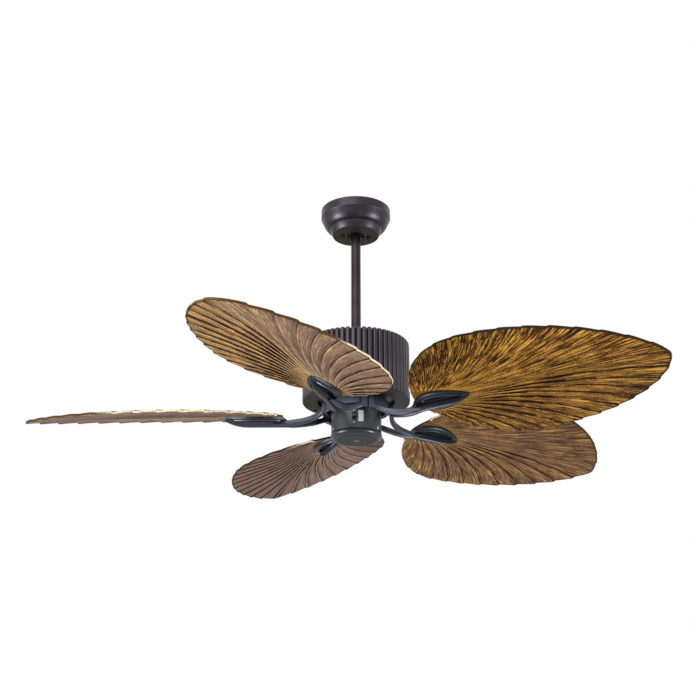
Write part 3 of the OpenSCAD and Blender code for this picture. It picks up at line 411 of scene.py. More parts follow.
def pleated_leaf(name, colours, pleats):
    """Printed palm leaf: fibres along the pleats, painted shade on the flanks, painted highlights on the
    crests, a painted sheen and light level that differ between a blade's halves, and a dark rim line
    """
    f = Finish(name)
    veins = f.veins()
    across, along = f.part(veins, "X"), f.part(veins, "Y")
    weathered, marked, bleached = [f.attribute(tone) for tone in LEAF_TONES]

    def strands(scale_across, scale_along, detail=3.0, roughness=0.6, distortion=0.0):
        """Noise that is drawn out along the pleats"""
        return f.drawn_noise(veins, (scale_across, scale_along, 1.0), detail, roughness, distortion)

    streaks = strands(40.0, 2.4, 4.0, 0.60, 0.5) - 0.5
    fibres = strands(185.0, 4.6, 3.0, 0.58, 0.3) - 0.5
    hairs = strands(280.0, 13.0) - 0.5
    cracks = 1.0 - strands(150.0, 2.4, 2.0, 0.5).between(0.37, 0.45)
    ruddy = strands(9.0, 2.2)
    patches = f.noise(24.0, 4.0, 0.6) - 0.5
    specks = f.noise(400.0, 3.0, 0.65) - 0.5

    # Across each pleat the flank towards the tip is steep. Painted shade darkens that flank, the slope
    # before it or the strip behind the crest, and a painted highlight lightens the crest
    phase = (abs(across) * float(pleats)).math("FRACT")
    flank = phase.band(0.90, 0.94, 0.965, 0.995)
    shadow = phase.band(0.62, 0.90, 0.95, 0.99)
    behind = phase.band(0.02, 0.08, 0.14, 0.34)
    crest = 1.0 - phase.between(0.0, 0.06)
    grown = along.between(0.0, 0.08)
    # The band where the pleats start by the holder, marked further down with painted highlights and painted
    # shade
    start = along.band(-0.01, 0.01, 0.03, 0.10)

    bold = streaks * 0.8 + fibres * 3.4 + hairs * 1.9 + specks * 1.5 + patches * 0.5
    calm = (1.0 - weathered * 0.9).math("MAXIMUM", 0.4)
    before = marked.math("MAXIMUM", 0.0)
    after = (marked * -1.0).math("MAXIMUM", 0.0)
    near = 1.0 - along.between(0.10, 0.60)
    # Painted shade lines along the pleats, stronger near the holder, and the crests' painted highlight
    painted_shade_lines = flank * (near * 0.30 + 0.20) + shadow * before * 0.26 + behind * after * 0.34
    painted_pleat_light = crest * grown * (near * 0.14 + 0.10) - painted_shade_lines * grown + bleached * 0.12
    # The start band's painted highlight lightens both ramps a little
    gold = f.node("ShaderNodeValToRGB", {"stops": (
        (0.18, colours.leaf_dark),
        (0.38, shade(colours.leaf_brown, 0.52)),
        (0.53, colours.leaf_brown),
        (0.72, colours.leaf_gold),
        (0.95, shade(colours.leaf_gold, 1.9)))},
        {"Fac": bold * calm + 0.53 + painted_pleat_light - cracks * calm * 0.30 + start * 0.08})
    taupe = f.node("ShaderNodeValToRGB", {"stops": (
        (0.14, colours.leaf_dark),
        (0.36, shade(colours.leaf_taupe, 0.45)),
        (0.52, colours.leaf_taupe),
        (0.66, shade(colours.leaf_taupe, 1.35)),
        (0.88, shade(colours.leaf_cut, 0.75)))},
        {"Fac": bold * 0.20 + 0.55 + painted_pleat_light * 1.5 - cracks * 0.07 + start * 0.10})
    ruddy_gold = f.mixed(
        ruddy.between(0.45, 0.70) * 0.6, gold.outputs["Color"], (1.0, 0.80, 0.90), blend="MULTIPLY")
    colour = f.mixed(weathered, ruddy_gold, taupe.outputs["Color"])
    # Painted shade in the gaps between the pleats' starts, and a painted glint on each start
    painted_gap_shade = start * phase.band(0.50, 0.62, 0.90, 0.97)
    beside = abs(across).between(0.03, 0.06)
    glint = start * (1.0 - phase.between(0.10, 0.34)) * beside * (1.0 - weathered * 0.8)
    colour = f.mixed(painted_gap_shade * 0.7, colour, colours.leaf_dark)
    colour = f.mixed(glint * 0.8, colour, shade(colours.leaf_gold, 2.4))
    tab = 1.0 - along.between(-0.03, 0.0)
    colour = f.mixed(tab * 0.5, colour, shade(colours.leaf_gold, 0.5))
    colour = f.mixed(along.between(0.984, 0.992) * 0.85, colour, colours.leaf_rim)
    relief = streaks * 0.8 + fibres * 0.7 + hairs * 0.3 - flank * grown * 0.35 - cracks * 0.3
    return f.surface(
        Base_Color=colour,
        Roughness=hairs * 0.3 + 0.72,
        Specular_IOR_Level=0.09,
        Normal=f.bump(relief, 0.0012, 0.8))


def rim_line(name, colours):
    """A dark line on the bevel round the cut edge, mottled between dark and dark brown"""
    f = Finish(name)
    grain = f.noise(350.0)
    return f.surface(
        Base_Color=f.mixed(grain, shade(colours.leaf_rim, 0.6), shade(colours.leaf_brown, 0.35)),
        Roughness=0.6,
        Specular_IOR_Level=0.08)


def cut_edge(name, colours):
    """The cut edge: pale at the root and, as a painted highlight, where a leaf's painted light level is
    high; dark elsewhere
    """
    f = Finish(name)
    off = abs(f.part(f.veins(), "X"))
    bleached = f.attribute("bleached")
    painted_lit_side = (bleached * off.between(0.15, 0.45) + off * 0.5).between(0.45, 0.62)
    pale = (painted_lit_side + off.between(0.90, 0.97) * 0.8).clamped()
    grain = f.noise(300.0)
    pale_mottled = f.mixed(grain.between(0.35, 0.6), shade(colours.leaf_cut, 0.55), colours.leaf_cut)
    edge_base = f.mixed(bleached.clamped(), shade(colours.leaf_brown, 0.22), shade(colours.leaf_gold, 0.5))
    return f.surface(
        Base_Color=f.mixed(pale, edge_base, pale_mottled),
        Roughness=0.55,
        Specular_IOR_Level=0.1,
        Normal=f.bump(grain, 0.0002, 0.5))


def plain_stage(name, colour, white, cover):
    """A matt floor that keeps the fan's shadow. White covers this share of it for rays that show it."""
    f = Finish(name)
    cloud = f.noise(0.6, 2.0)
    f.surface(Base_Color=f.mixed(cloud, shade(colour, 0.98), colour), Roughness=0.9)
    pale = f.node("ShaderNodeEmission", None, {"Color": (white, white, white), "Strength": 1.0})
    both = f.node(
        "ShaderNodeMixShader", None, {0: f.in_sight() * cover, 1: f.shader.outputs[0], 2: pale.outputs[0]})
    f.fill(f.output.inputs["Surface"], both.outputs[0])
    return f.material


def finished(name, bm, materials, body, node, crease):
    """A finished piece that stands for a CAD node: its place is in its mesh"""
    for edge in bm.edges:
        edge.smooth = edge.calc_face_angle(0.0) < crease
    for face in bm.faces:
        face.smooth = True
    mesh = bpy.data.meshes.new(name)
    bm.to_mesh(mesh)
    bm.free()
    piece = bpy.data.objects.new(name, mesh)
    bpy.context.scene.collection.objects.link(piece)
    for material in materials:
        mesh.materials.append(material)
    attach(piece, body)
    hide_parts(node)
    return piece


def smooth_step(x):
    x = min(1.0, max(0.0, x))
    return x * x * (3.0 - 2.0 * x)


def formed_grid(bm, columns, rows, shape):
    """A grid whose points are put in place by shape(column, row)"""
    made = bmesh.ops.create_grid(bm, x_segments=columns, y_segments=rows, size=1.0)["verts"]
    keys = {}
    for vertex in made:
        c = round((vertex.co.x + 1.0) / 2.0 * columns)
        r = round((vertex.co.y + 1.0) / 2.0 * rows)
        keys[vertex] = (c, r)
    for vertex, (c, r) in keys.items():
        vertex.co = Vector(shape(c, r))
    return keys


def wrapped_tube(bm, rings, steps, point, slot=None):
    """A closed tube: a grid wrapped round and welded along its seam, with both ends filled.
    slot(s, j) gives the material slot of the face that starts at place s and ring point j."""
    start = set(bm.verts)
    keys = formed_grid(bm, steps, rings, lambda c, r: point(c / steps, r % rings))
    if slot:
        for face in {f for v in keys for f in v.link_faces}:
            c, r = (min(keys[v][k] for v in face.verts) for k in (0, 1))
            face.material_index = slot(c / steps, r)
    new = [v for v in bm.verts if v not in start]
    bmesh.ops.remove_doubles(bm, verts=new, dist=1e-6)
    rim = [e for e in bm.edges if e.is_boundary and e.verts[0] not in start]
    bmesh.ops.holes_fill(bm, edges=rim, sides=0)


def turned_to(number):
    """Turns a piece about the fan's axis to its blade's place"""
    return Matrix.Rotation(FIRST_BLADE + (number - 1) * math.tau / len(BLADES), 4, "Z")


def tilted(sizes):
    """Takes a piece from a blade's own flat plane to the blade's height and pitch"""
    return Matrix.Translation((0, 0, sizes.blade_level)) @ Matrix.Rotation(-sizes.blade_pitch, 4, "X")


class LeafShape:
    """The pleated leaf's middle surface"""

    rim_end = math.radians(160)
    rim_steps = 160
    # How quickly the rim narrows towards tip and root
    tip_power = 1.36
    root_power = 1.24
    # The flat tab, on whose side the ribs start, and its corners
    tab_inset = 0.001
    corner_reach = 0.011
    corner_width = 0.042
    corner_power = 0.6
    # The ribs' greatest bend, and how near the middle one it is
    rib_bend = math.radians(-17)
    bend_power = 0.8
    holder_gap = 0.0003
    # The gentle flank's share of a pleat, and how sharp its crest is
    gentle_share = 11 / 12
    crest_power = 1.5
    # Depth of a notch in the rim, as a share of a rib's length
    notch = 0.002
    # How quickly the pleats grow from the tab, and the share that they lose up to the rim
    growth = 2.4
    rim_loss = 0.5

    def __init__(self, sizes):
        self.sizes = sizes
        self.tab_end = sizes.holder_end - self.tab_inset
        self.table = [0.0]
        points = [self.rim(self.rim_end * k / self.rim_steps) for k in range(self.rim_steps + 1)]
        for a, b in zip(points, points[1:]):
            self.table.append(self.table[-1] + (b - a).length)

    def rim(self, angle):
        """The rim's curve, from the tip at angle 0 towards the root"""
        s = self.sizes
        outer = angle < math.pi / 2
        reach = s.blade_tip - s.blade_widest if outer else s.blade_widest - s.blade_root
        power = self.tip_power if outer else self.root_power
        return Vector((
            s.blade_widest + reach * math.cos(angle),
            s.blade_width / 2 * max(0.0, math.sin(angle)) ** power))

    def rim_at(self, share):
        """The rim's point at a share of its length"""
        wanted = self.table[-1] * share
        k = 0
        while k < self.rim_steps - 1 and self.table[k + 1] < wanted:
            k += 1
        part = (wanted - self.table[k]) / (self.table[k + 1] - self.table[k])
        return self.rim(self.rim_end * (k + part) / self.rim_steps)

    def rib_start(self, q):
        run = self.tab_end - self.sizes.blade_root - self.corner_reach
        return Vector((self.tab_end - run * q, self.corner_width * q ** self.corner_power))

    def flat(self, q, t):
        """A place in plan, q across the ribs from the middle one and t along a rib"""
        start = self.rib_start(q)
        if t < 0:
            return Vector((start.x, start.y * (1 + t)))
        end = self.rim_at(q)
        run = end - start
        bend = self.rib_bend * math.sin(math.pi * q ** self.bend_power)
        middle = start + 0.5 * Vector((
            run.x * math.cos(bend) - run.y * math.sin(bend),
            run.x * math.sin(bend) + run.y * math.cos(bend)))
        return (1 - t) ** 2 * start + 2 * (1 - t) * t * middle + t ** 2 * end

    def lift(self, u):
        """Height of the middle surface above the holder's plane, at a distance from the fan's axis"""
        s = self.sizes
        away = max(0.0, (u - s.blade_widest) / (s.blade_tip - s.blade_widest))
        return self.holder_gap + s.blade_thickness / 2 - s.blade_droop * away ** 2

    def pleat(self, q):
        """From -0.5 on a rib's crest, seen from below, to 0.5 in the valley beside its steep flank"""
        x = (q * self.sizes.pleats) % 1.0
        gentle = self.gentle_share
        part = x / gentle if x < gentle else (1.0 - x) / (1.0 - gentle)
        return math.sin(math.pi / 2 * part) ** self.crest_power - 0.5

    def point(self, q, t):
        """A point of the leaf: q from -1 to 1 across it, t below 0 on the tab and up to 1 at the rim"""
        side = -1.0 if q < 0 else 1.0
        wave = self.pleat(abs(q))
        high = 0.0
        if t > 0:
            growth = smooth_step(t * self.growth) * (1.0 - self.rim_loss * t ** 3)
            high = wave * self.sizes.pleat_height * growth
            t *= 1.0 - self.notch * (wave + 0.5) * smooth_step(abs(q) * self.sizes.pleats)
        p = self.flat(abs(q), t)
        return (p.x, side * p.y, self.lift(p.x) + high)


class FAN_OT_leaves(bpy.types.Operator):
    """Five pleated leaves in place of the plain blades"""

    bl_idname = "fan.leaves"
    bl_label = "Leaf blades"

    per_pleat = 12
    tab_rows = 6
    leaf_rows = 44
    root_rows = 5
    # How round the root's end is, and how quickly the painted light turns from one half's tones to the
    # other's
    root_power = 1.6
    tone_change = 2.5
    crease = math.radians(80)
    edge_width = 0.0009
    edge_angle = math.radians(60)
    # Each blade's painted sheen, the strength of its painted shadow lines and its painted light level,
    # first on the half that rises and then on the half that falls
    painted_light_tones = {
        1: ((0.36, 0.32, -0.75), (0.33, 0.30, -0.2)),
        2: ((0.95, -0.45, 0.15), (0.93, -1.0, -0.2)),
        3: ((1.0, -0.5, 0.35), (1.0, -0.6, 0.35)),
        4: ((0.28, 0.75, 1.1), (0.62, 0.2, 0.42)),
        5: ((0.0, 0.20, -0.2), (0.06, 0.45, -0.2)),
    }

    def execute(self, context):
        sizes = context.scene.fan_sizes
        colours = context.scene.fan_finishes
        shape = LeafShape(sizes)
        materials = (
            pleated_leaf("leaf", colours, sizes.pleats), cut_edge("leaf cut edge", colours),
            rim_line("leaf rim line", colours))
        for number in BLADES:
            bm = self.leaf(shape, *self.painted_light_tones[number])
            bm.transform(turned_to(number) @ tilted(sizes))
            piece = finished(
                f"leaf_{number}", bm, materials, "rotor", f"leaf_blade_{number}", self.crease)
            wall = piece.modifiers.new("thickness", "SOLIDIFY")
            wall.thickness = sizes.blade_thickness
            wall.offset = 0.0
            wall.material_offset_rim = CUT_EDGE
            edge = piece.modifiers.new("edge", "BEVEL")
            edge.width = self.edge_width
            edge.material = RIM_LINE
            edge.segments = 2
            edge.limit_method = "ANGLE"
            edge.angle_limit = self.edge_angle
        return {"FINISHED"}

    def leaf(self, shape, rising, falling):
        bm = bmesh.new()
        columns = 2 * shape.sizes.pleats * self.per_pleat
        rows = self.tab_rows + self.leaf_rows
        veins = bm.loops.layers.uv.new("veins")
        tones = [bm.verts.layers.float.new(tone) for tone in LEAF_TONES]

        def dress(vertex, q, place):
            """Gives a point its painted light tones and its place in the print"""
            fall = smooth_step(0.5 + q * self.tone_change)
            for layer, low, high in zip(tones, rising, falling):
                vertex[layer] = low * (1 - fall) + high * fall
            for loop in vertex.link_loops:
                loop[veins].uv = place

        def share(c, r):
            t = (r - self.tab_rows) / (self.leaf_rows if r > self.tab_rows else self.tab_rows)
            return 2.0 * c / columns - 1.0, t

        keys = formed_grid(bm, columns, rows, lambda c, r: shape.point(*share(c, r)))
        for vertex, (c, r) in keys.items():
            q, t = share(c, r)
            dress(vertex, q, (q, t))

        # The rounded root end closes the tab between its two corners
        corner = shape.rib_start(1.0)
        depth = corner.x - shape.sizes.blade_root

        def root(c, r):
            v = corner.y * (c / self.tab_rows - 1.0)
            hollow = abs(v / corner.y) ** self.root_power
            u = corner.x - depth * (1.0 - hollow) * r / self.root_rows
            return (u, v, shape.lift(u))

        # The print is plain there, so its own places lie apart from the leaf's
        for vertex, (c, r) in formed_grid(bm, 2 * self.tab_rows, self.root_rows, root).items():
            dress(vertex, 0.0, (0.01 * c, -1.0 - 0.1 * r))
        bmesh.ops.remove_doubles(bm, verts=bm.verts, dist=2e-6)
        bmesh.ops.recalc_face_normals(bm, faces=bm.faces)
        return bm


class FAN_OT_blade_arms(bpy.types.Operator):
    """Five cast arms, each with two prongs and a leaf-shaped holder"""

    bl_idname = "fan.blade_arms"
    bl_label = "Blade arms"

    crease = math.radians(50)
    # The foot's size outwards, across and upwards
    foot = (0.0094, 0.0115, 0.026)
    foot_inner = 0.0666
    foot_bottom = -0.458
    foot_round = 0.0012
    # A prong's ends and its curve's handles. Its end is counted from the holder's start.
    prong_start = Vector((0.0613, 0.0364, -0.4505))
    prong_start_handle = Vector((0.0167, -0.0284, -0.0175))
    prong_end = Vector((0.028, 0.0020, -0.0143))
    prong_end_handle = Vector((-0.050, 0.0078, -0.0006))
    prong_corners = 20
    prong_steps = 36
    # The share of its thickness that a prong loses, and from where on
    prong_loss = 0.55
    prong_taper = 0.7
    # Powers that square its section
    prong_square = (0.42, 0.50)
    # The holder's neck, and how its outline swells and closes
    neck_length = 0.016
    neck_half = 0.0052
    tip_half = 0.0012
    holder_swell = (0.84, 0.82)
    holder_steps = 72
    # Its top lies lower at the neck and rises to the leaf over a short run
    neck_drop = 0.0083
    neck_lead = 0.005
    neck_run = 0.015
    # Its keel rises by this share over its last stretch
    keel_rise = 0.62
    keel_run = 0.048
    keel_power = 2.2
    # The hollow panel, counted from the holder's start and tip, and its share of the half width
    panel_start = 0.006
    panel_end = 0.012
    panel_share = 0.68
    panel_swell = (0.9, 0.75)
    panel_least, panel_most = 0.30, 0.70
    panel_fade = 0.15
    # Where the recess's painted shade starts and ends inside the panel
    recess_start = 0.002
    recess_end = 0.004
    # Half of the holder's section, in shares of its half width and depth. The bead counts from the panel's
    # side and the hollow from keel to bead, each point with how far it can be sunk.
    flange_span = 0.96
    flange_curve = (
        (0.0, 0.0), (0.02, 0.09), (0.09, 0.19), (0.22, 0.27), (0.42, 0.325), (0.66, 0.345), (0.86, 0.335),
        (1.0, 0.315))
    bead_curve = (
        (0.022, 0.34, 0.06), (0.006, 0.345, -0.01), (-0.010, 0.35, -0.05), (-0.026, 0.355, -0.03),
        (-0.040, 0.36, 0.08))
    hollow_curve = (
        (0.86, 0.3742, 0.22), (0.62, 0.3814, 0.265), (0.36, 0.3892, 0.28), (0.16, 0.3952, 0.26),
        (0.05, 0.3985, 0.19))
    keel_side = 0.12
    keel_curve = (
        (0.112, 0.44), (0.104, 0.62), (0.098, 0.80), (0.094, 0.93), (0.076, 0.985), (0.042, 1.0), (0.0, 1.0))
    # The faces of a half section on its flange and in its hollow panel, counted from the leaf, darkened as
    # painted shade
    flange_faces = range(0, 7)
    hollow_faces = range(12, 18)

    def execute(self, context):
        sizes = context.scene.fan_sizes
        dark = context.scene.fan_finishes.charcoal
        materials = (
            painted_metal("arm paint", dark, 0.37, 0.4, metallic=0.9),
            # Darker copies of the arm paint: painted shade in the holder's recess and on its flange
            painted_metal("arm recess shade", shade(dark, 0.08), 0.50, 0.06),
            painted_metal("arm flange shade", shade(dark, 0.45), 0.40, 0.3, metallic=0.9))
        for number in BLADES:
            bm = bmesh.new()
            self.holder(bm, sizes)
            bm.transform(tilted(sizes))
            for side in (-1, 1):
                self.prong(bm, sizes, side)
                self.foot_block(bm, sizes, side)
            bmesh.ops.recalc_face_normals(bm, faces=bm.faces)
            bm.transform(turned_to(number))
            finished(
                f"arm_{number}", bm, materials, "rotor", f"blade_arm_{number}", self.crease)
        return {"FINISHED"}

    def half_section(self, panel, sunk):
        """Half of the holder's section, from the leaf to the keel: a rounded flange, a bead, a hollow
        that reaches out to panel and is sunk by a share, and the tall keel"""
        flange = [(1.0 - s * (self.flange_span - panel), y) for s, y in self.flange_curve]
        bead = [(panel + x, y - depth * sunk) for x, y, depth in self.bead_curve]
        span = bead[-1][0] - self.keel_side
        hollow = [(self.keel_side + span * s, y - depth * sunk) for s, y, depth in self.hollow_curve]
        return flange + bead + hollow + list(self.keel_curve)

    def holder(self, bm, sizes):
        """The boat-shaped holder, from its neck to its tip"""
        neck = sizes.holder_start - self.neck_length
        span = sizes.holder_end - neck
        half_width = sizes.holder_width / 2
        first, last = sizes.holder_start + self.panel_start, sizes.holder_end - self.panel_end

        def share(u, start, end):
            return min(1.0, max(0.0, (u - start) / (end - start)))

        def swell(along, powers):
            return math.sin(math.pi * along ** powers[0]) ** powers[1]

        def ring(s):
            u = neck + span * s
            along = share(u, sizes.holder_start, sizes.holder_end)
            least = self.neck_half if along < 0.5 else self.tip_half
            w = max(least, half_width * swell(along, self.holder_swell))
            rise = (u - sizes.holder_start + self.neck_lead) / self.neck_run
            top = -self.neck_drop * (1 - smooth_step(rise))
            ending = max(0.0, (u - sizes.holder_end + self.keel_run) / self.keel_run)
            keel = -sizes.holder_depth * (1 - self.keel_rise * ending ** self.keel_power)
            panel = self.panel_share * half_width * swell(share(u, first, last), self.panel_swell) / w
            sunk = smooth_step((panel - self.panel_least) / self.panel_fade)
            half = self.half_section(min(self.panel_most, max(self.panel_least, panel)), sunk)
            both = half + [(-x, y) for x, y in reversed(half[:-1])]
            return [(u, x * w, top + y * (keel - top)) for x, y in both]

        steps = self.holder_steps
        rings = [ring(k / steps) for k in range(steps + 1)]
        count = len(rings[0])

        def slot(s, j):
            # Painted shade: the flange's faces and the deep part of the hollow take the darker paints
            u = neck + span * s
            face = min(j, count - 2 - j)
            if face in self.flange_faces and u > sizes.holder_start:
                return FLANGE_SHADE
            deep = first + self.recess_start < u < last - self.recess_end
            return RECESS_SHADE if face in self.hollow_faces and deep else 0

        wrapped_tube(bm, count, steps, lambda s, j: rings[round(s * steps)][j], slot)

    def prong(self, bm, sizes, side):
        """A curved prong from its foot to the holder's neck"""
        start = self.prong_start
        end = Vector((sizes.holder_start, 0.0, sizes.blade_level)) + self.prong_end
        handles = start + self.prong_start_handle, end + self.prong_end_handle

        def at(t):
            return ((1 - t) ** 3 * start + 3 * (1 - t) ** 2 * t * handles[0]
                    + 3 * (1 - t) * t ** 2 * handles[1] + t ** 3 * end)

        def squared(x, power):
            return math.copysign(abs(x) ** power, x) * 0.5

        def point(t, j):
            here = at(t)
            ahead = at(min(1.0, t + 0.02)) - at(max(0.0, t - 0.02))
            across = Vector((-ahead.y, ahead.x)).normalized()
            left = 1 - self.prong_loss * smooth_step((t - self.prong_taper) / (1.0 - self.prong_taper))
            a = math.tau * j / self.prong_corners
            # A rounded oblong section, a little flat on its sides
            x = squared(math.cos(a), self.prong_square[0]) * sizes.prong_width * left
            z = squared(math.sin(a), self.prong_square[1]) * sizes.prong_height * left
            return (here.x + across.x * x, side * (here.y + across.y * x), here.z + z)

        wrapped_tube(bm, self.prong_corners, self.prong_steps, point)

    def foot_block(self, bm, sizes, side):
        """The foot that is screwed to the flywheel"""
        made = bmesh.ops.create_cube(bm, size=1.0)["verts"]
        out, across, up = self.foot
        place = (
            Matrix.Rotation(side * sizes.foot_angle, 4, "Z")
            @ Matrix.Translation((self.foot_inner + out / 2, 0, self.foot_bottom + up / 2))
            @ Matrix.Diagonal((out, across, up, 1)))
        bmesh.ops.transform(bm, verts=made, matrix=place)
        edges = list(dict.fromkeys(e for v in made for e in v.link_edges))
        bmesh.ops.bevel(
            bm, geom=edges, offset=self.foot_round, affect="EDGES", segments=3, profile=0.5, material=-1)


class FAN_OT_housing(bpy.types.Operator):
    """The ribbed motor housing"""

    bl_idname = "fan.housing"
    bl_label = "Motor housing"

    crease = math.radians(40)
    per_rib = 14
    # Half a rib's width, as a share of the ribs' spacing
    rib_share = 0.42
    wall = 0.003
    lip = 0.0006
    side_steps = 6
    # How much lower than the crests the grooves lie on the shoulder
    groove_drop = 0.7
    # The top's thickness, how far inside the crests its places lie, and where the wall starts below it
    top_thickness = 0.0025
    top_insets = (0.030, 0.060, 0.0918)
    under_insets = (0.0918, 0.060, 0.0105)
    wall_start = 0.006

    def execute(self, context):
        sizes = context.scene.fan_sizes
        bronze = context.scene.fan_finishes.bronze
        material = ribbed_paint("ribbed paint", bronze, sizes.drum_radius, sizes.rib_reach)
        bm = bmesh.new()
        columns = sizes.ribs * self.per_rib
        rib = self.rib_share * math.tau / sizes.ribs * sizes.drum_radius
        centre = sizes.rib_reach - rib
        shoulder = sizes.drum_shoulder
        top, bottom = sizes.drum_top, sizes.drum_bottom
        # Heights and insets up the outside, then across the top and back down the inside
        outside = [(bottom, 0.0), (bottom + self.lip, 0.0)]
        outside += [
            (bottom + (top - shoulder - bottom) * k / self.side_steps, 0.0)
            for k in range(1, self.side_steps + 1)]
        outside += [
            (top - shoulder * (1 - math.sin(a)), shoulder * (1 - math.cos(a)))
            for a in [math.radians(d) for d in range(10, 91, 10)]]
        cover = [(top, inset) for inset in self.top_insets]
        cover += [(top - self.top_thickness, inset) for inset in self.under_insets]
        inside = [top - self.wall_start, bottom]
        rows = len(outside) + len(cover) + len(inside)

        def reach(angle):
            """Radius of the ribbed outline at an angle"""
            pitch = math.tau / sizes.ribs
            off = (angle / pitch) % 1.0 - 0.5
            side = centre * math.sin(off * pitch)
            if abs(side) >= rib:
                return sizes.drum_radius
            round_out = centre * math.cos(off * pitch) + rib * (1 - (side / rib) ** 4) ** 0.5
            return max(sizes.drum_radius, round_out)

        def point(c, r):
            angle = math.tau * c / columns
            r = r % rows
            if r < len(outside):
                z, inset = outside[r]
                out = reach(angle)
                radius = out - inset
                if z > top - shoulder:
                    z -= self.groove_drop * (sizes.rib_reach - out)
            elif r < len(outside) + len(cover):
                z, inset = cover[r - len(outside)]
                radius = sizes.rib_reach - inset
            else:
                z = inside[r - len(outside) - len(cover)]
                radius = sizes.drum_radius - self.wall
            return (radius * math.cos(angle), radius * math.sin(angle), z)

        formed_grid(bm, columns, rows, point)
        bmesh.ops.remove_doubles(bm, verts=bm.verts, dist=1e-6)
        bmesh.ops.recalc_face_normals(bm, faces=bm.faces)
        finished(
            "ribbed_drum", bm, (material,), "suspension", "motor_housing", self.crease)
        return {"FINISHED"}


class FAN_OT_node_finishes(bpy.types.Operator):
    """Finishes of the pieces that keep their CAD shape"""

    bl_idname = "fan.node_finishes"
    bl_label = "Finishes of the frame's pieces"

    def execute(self, context):
        sizes = context.scene.fan_sizes
        c = context.scene.fan_finishes
        finishes = {
            "canopy": two_tone("canopy paint", c.bronze, c.underside_shade, sizes.canopy_face),
            "coupling_cover": painted_metal("bronze paint", c.bronze, 0.36, 0.35, metallic=0.95),
            "downrod": painted_metal("rod paint", c.rod, 0.36, 0.35, metallic=0.95),
            "switch_housing": painted_metal("graphite paint", c.graphite, 0.43, 0.35, metallic=0.95),
            "bottom_cap": glossy_rim("cap paint", c.bronze, c.cap_dark, c.cap_light, sizes.cap_face),
            "base_plate": painted_metal("plate paint", c.plate, 0.5, 0.2),
            "stator_core": laminated_steel("stator sheets"),
            "rotor_ring": laminated_steel("rotor sheets"),
            "stator_windings": wound_copper("windings", c.copper),
            "receiver_box": moulded_plastic("receiver plastic", (0.36, 0.36, 0.35)),
            "capacitor": moulded_plastic("capacitor plastic", (0.70, 0.70, 0.67)),
            "switch_body": moulded_plastic("switch plastic", (0.015, 0.015, 0.016)),
            "switch_slider": moulded_plastic("slider plastic", c.slider, 0.35),
            "switch_plate": moulded_plastic("blank plate", c.blank, 0.35),
            "lead_bundle": moulded_plastic("lead sleeve", (0.020, 0.020, 0.021), 0.5),
            "cap_plug": bare_metal("brass plug", c.brass, 0.45),
            "cap_screws": bare_metal("bright zinc", c.bright, 0.30),
        }
        for finish, names in (
            # Black: the screws' finish, and painted shade on the hanger ball for the dark hole round the rod
            (painted_metal("black screw and ball shade", c.black, 0.6, 0.15), (
                "canopy_screws", "base_plate_screws", "arm_screws", "hanger_ball")),
            (painted_metal("casting paint", c.charcoal, 0.38, 0.3, 0.00015, metallic=0.9), (
                "flywheel", "rotor_bottom_cover")),
            (bare_metal("zinc casting", c.zinc, 0.42, (200.0, 200.0, 200.0)), (
                "coupling", "rotor_top_cover")),
            (bare_metal("plated steel", c.steel, 0.40), (
                "hanger_bracket", "hairpin_clip", "housing_top_screws", "flywheel_screws", "blade_screws",
                "switch_screws", "rotor_bolts", "shaft_nut")),
            (bare_metal("turned steel", shade(c.steel, 0.8), 0.24, (20.0, 20.0, 1500.0)), (
                "ball_set_screw", "ball_cross_pin", "clevis_pin", "coupling_set_screws", "motor_shaft",
                "upper_inner_ring", "lower_inner_ring", "upper_outer_ring", "lower_outer_ring",
                "upper_ball_cage", "lower_ball_cage")),
        ):
            finishes.update(dict.fromkeys(names, finish))
        for name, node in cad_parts.items():
            if node.hide_render:
                continue
            node.data.materials.clear()
            node.data.materials.append(finishes[name])
        return {"FINISHED"}


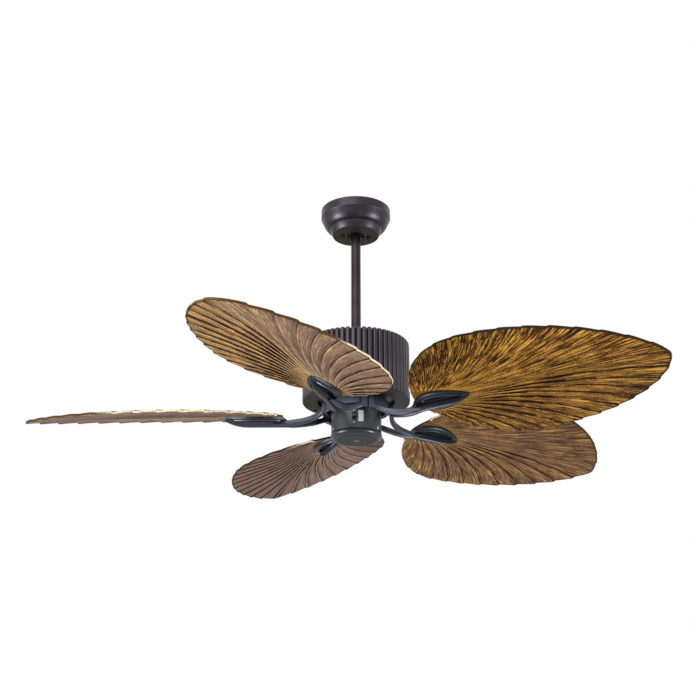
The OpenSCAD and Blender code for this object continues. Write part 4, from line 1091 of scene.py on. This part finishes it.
class FAN_OT_stage(bpy.types.Operator):
    """Pale floor, soft lamps, white surroundings and the camera"""

    bl_idname = "fan.stage"
    bl_label = "Stage, lamps and camera"

    eye = (0.0, -2.32106, -1.1919)
    pitch = 0.363
    yaw = -0.0071
    focal_pixels = 1217.96
    floor_reach = 40.0
    floor_level = -3.4
    # The white that rays in sight see on the floor, and how much of the floor it covers
    floor_white = 0.93
    floor_cover = 0.7
    # Light that the surroundings give, as a share of the white that shows
    world_light = 0.3
    # Place, aim, width and power of each lamp
    lamps = {
        "left_lamp": ((-2.9, -0.9, -1.8), (0.0, 0.0, -0.4), 1.1, 110.0),
        "right_lamp": ((2.9, -0.9, -1.85), (0.1, 0.0, -0.4), 1.0, 94.0),
        "front_lamp": ((-1.1, -2.5, 1.0), (0.0, 0.0, -0.4), 2.6, 46.0),
        "top_lamp": ((0.4, 0.8, 1.9), (0.0, 0.0, -0.4), 2.0, 24.0),
    }

    def execute(self, context):
        scene = context.scene
        self.floor(scene)
        self.world(scene)
        for name, (place, aim, width, power) in self.lamps.items():
            lamp = bpy.data.lights.new(name, "AREA")
            lamp.size = width
            lamp.energy = power
            thing = bpy.data.objects.new(name, lamp)
            thing.location = place
            thing.rotation_euler = (Vector(aim) - Vector(place)).to_track_quat("-Z", "Y").to_euler()
            scene.collection.objects.link(thing)
        self.camera(scene)
        scene.view_settings.view_transform = "Standard"
        return {"FINISHED"}

    def floor(self, scene):
        bm = bmesh.new()
        bmesh.ops.create_grid(bm, x_segments=1, y_segments=1, size=self.floor_reach)
        bmesh.ops.translate(bm, verts=bm.verts, vec=(0, 0, self.floor_level))
        mesh = bpy.data.meshes.new("floor")
        bm.to_mesh(mesh)
        bm.free()
        floor = bpy.data.objects.new("floor", mesh)
        scene.collection.objects.link(floor)
        mesh.materials.append(
            plain_stage("pale floor", scene.fan_finishes.floor, self.floor_white, self.floor_cover))

    def world(self, scene):
        """White surroundings where they are in sight, and a weaker light from them on the fan"""
        world = bpy.data.worlds.new("white surroundings")
        scene.world = world
        world.use_nodes = True
        nodes = Nodes(world.node_tree)
        strength = nodes.in_sight() * (1.0 - self.world_light) + self.world_light
        light = nodes.node("ShaderNodeBackground", None, {"Color": (1, 1, 1), "Strength": strength})
        nodes.node("ShaderNodeOutputWorld", None, {"Surface": light.outputs[0]})

    def camera(self, scene):
        data = bpy.data.cameras.new("camera")
        data.sensor_width = SENSOR_WIDTH
        data.lens = SENSOR_WIDTH * self.focal_pixels / IMAGE_WIDTH
        camera = bpy.data.objects.new("camera", data)
        right = Vector((math.cos(self.yaw), -math.sin(self.yaw), 0))
        level = Vector((math.sin(self.yaw), math.cos(self.yaw), 0))
        ahead = level * math.cos(self.pitch) + Vector((0, 0, math.sin(self.pitch)))
        up = right.cross(ahead)
        rotation = Matrix((right, up, -ahead)).transposed().to_4x4()
        camera.matrix_world = Matrix.Translation(self.eye) @ rotation
        scene.collection.objects.link(camera)
        scene.camera = camera


class FAN_PT_panel(bpy.types.Panel):
    """Sizes, finishes and pieces of the fan"""

    bl_idname = "FAN_PT_panel"
    bl_label = "Palm-leaf fan"
    bl_space_type = "VIEW_3D"
    bl_region_type = "UI"
    bl_category = "Fan"

    def draw(self, context):
        layout = self.layout
        for group in (context.scene.fan_sizes, context.scene.fan_finishes):
            box = layout.box()
            for name in group.bl_rna.properties.keys():
                if name not in ("rna_type", "name"):
                    box.prop(group, name)
        for operator in OPERATORS:
            layout.operator(operator.bl_idname)


OPERATORS = (FAN_OT_housing, FAN_OT_leaves, FAN_OT_blade_arms, FAN_OT_node_finishes, FAN_OT_stage)
CLASSES = (FanSizes, FanFinishes) + OPERATORS + (FAN_PT_panel,)


def register():
    for cls in CLASSES:
        bpy.utils.register_class(cls)
    bpy.types.Scene.fan_sizes = PointerProperty(type=FanSizes)
    bpy.types.Scene.fan_finishes = PointerProperty(type=FanFinishes)


def unregister():
    del bpy.types.Scene.fan_finishes
    del bpy.types.Scene.fan_sizes
    for cls in reversed(CLASSES):
        bpy.utils.unregister_class(cls)


def main():
    register()
    bpy.ops.fan.housing()
    bpy.ops.fan.leaves()
    bpy.ops.fan.blade_arms()
    bpy.ops.fan.node_finishes()
    bpy.ops.fan.stage()


if __name__ == "__main__":
    main()
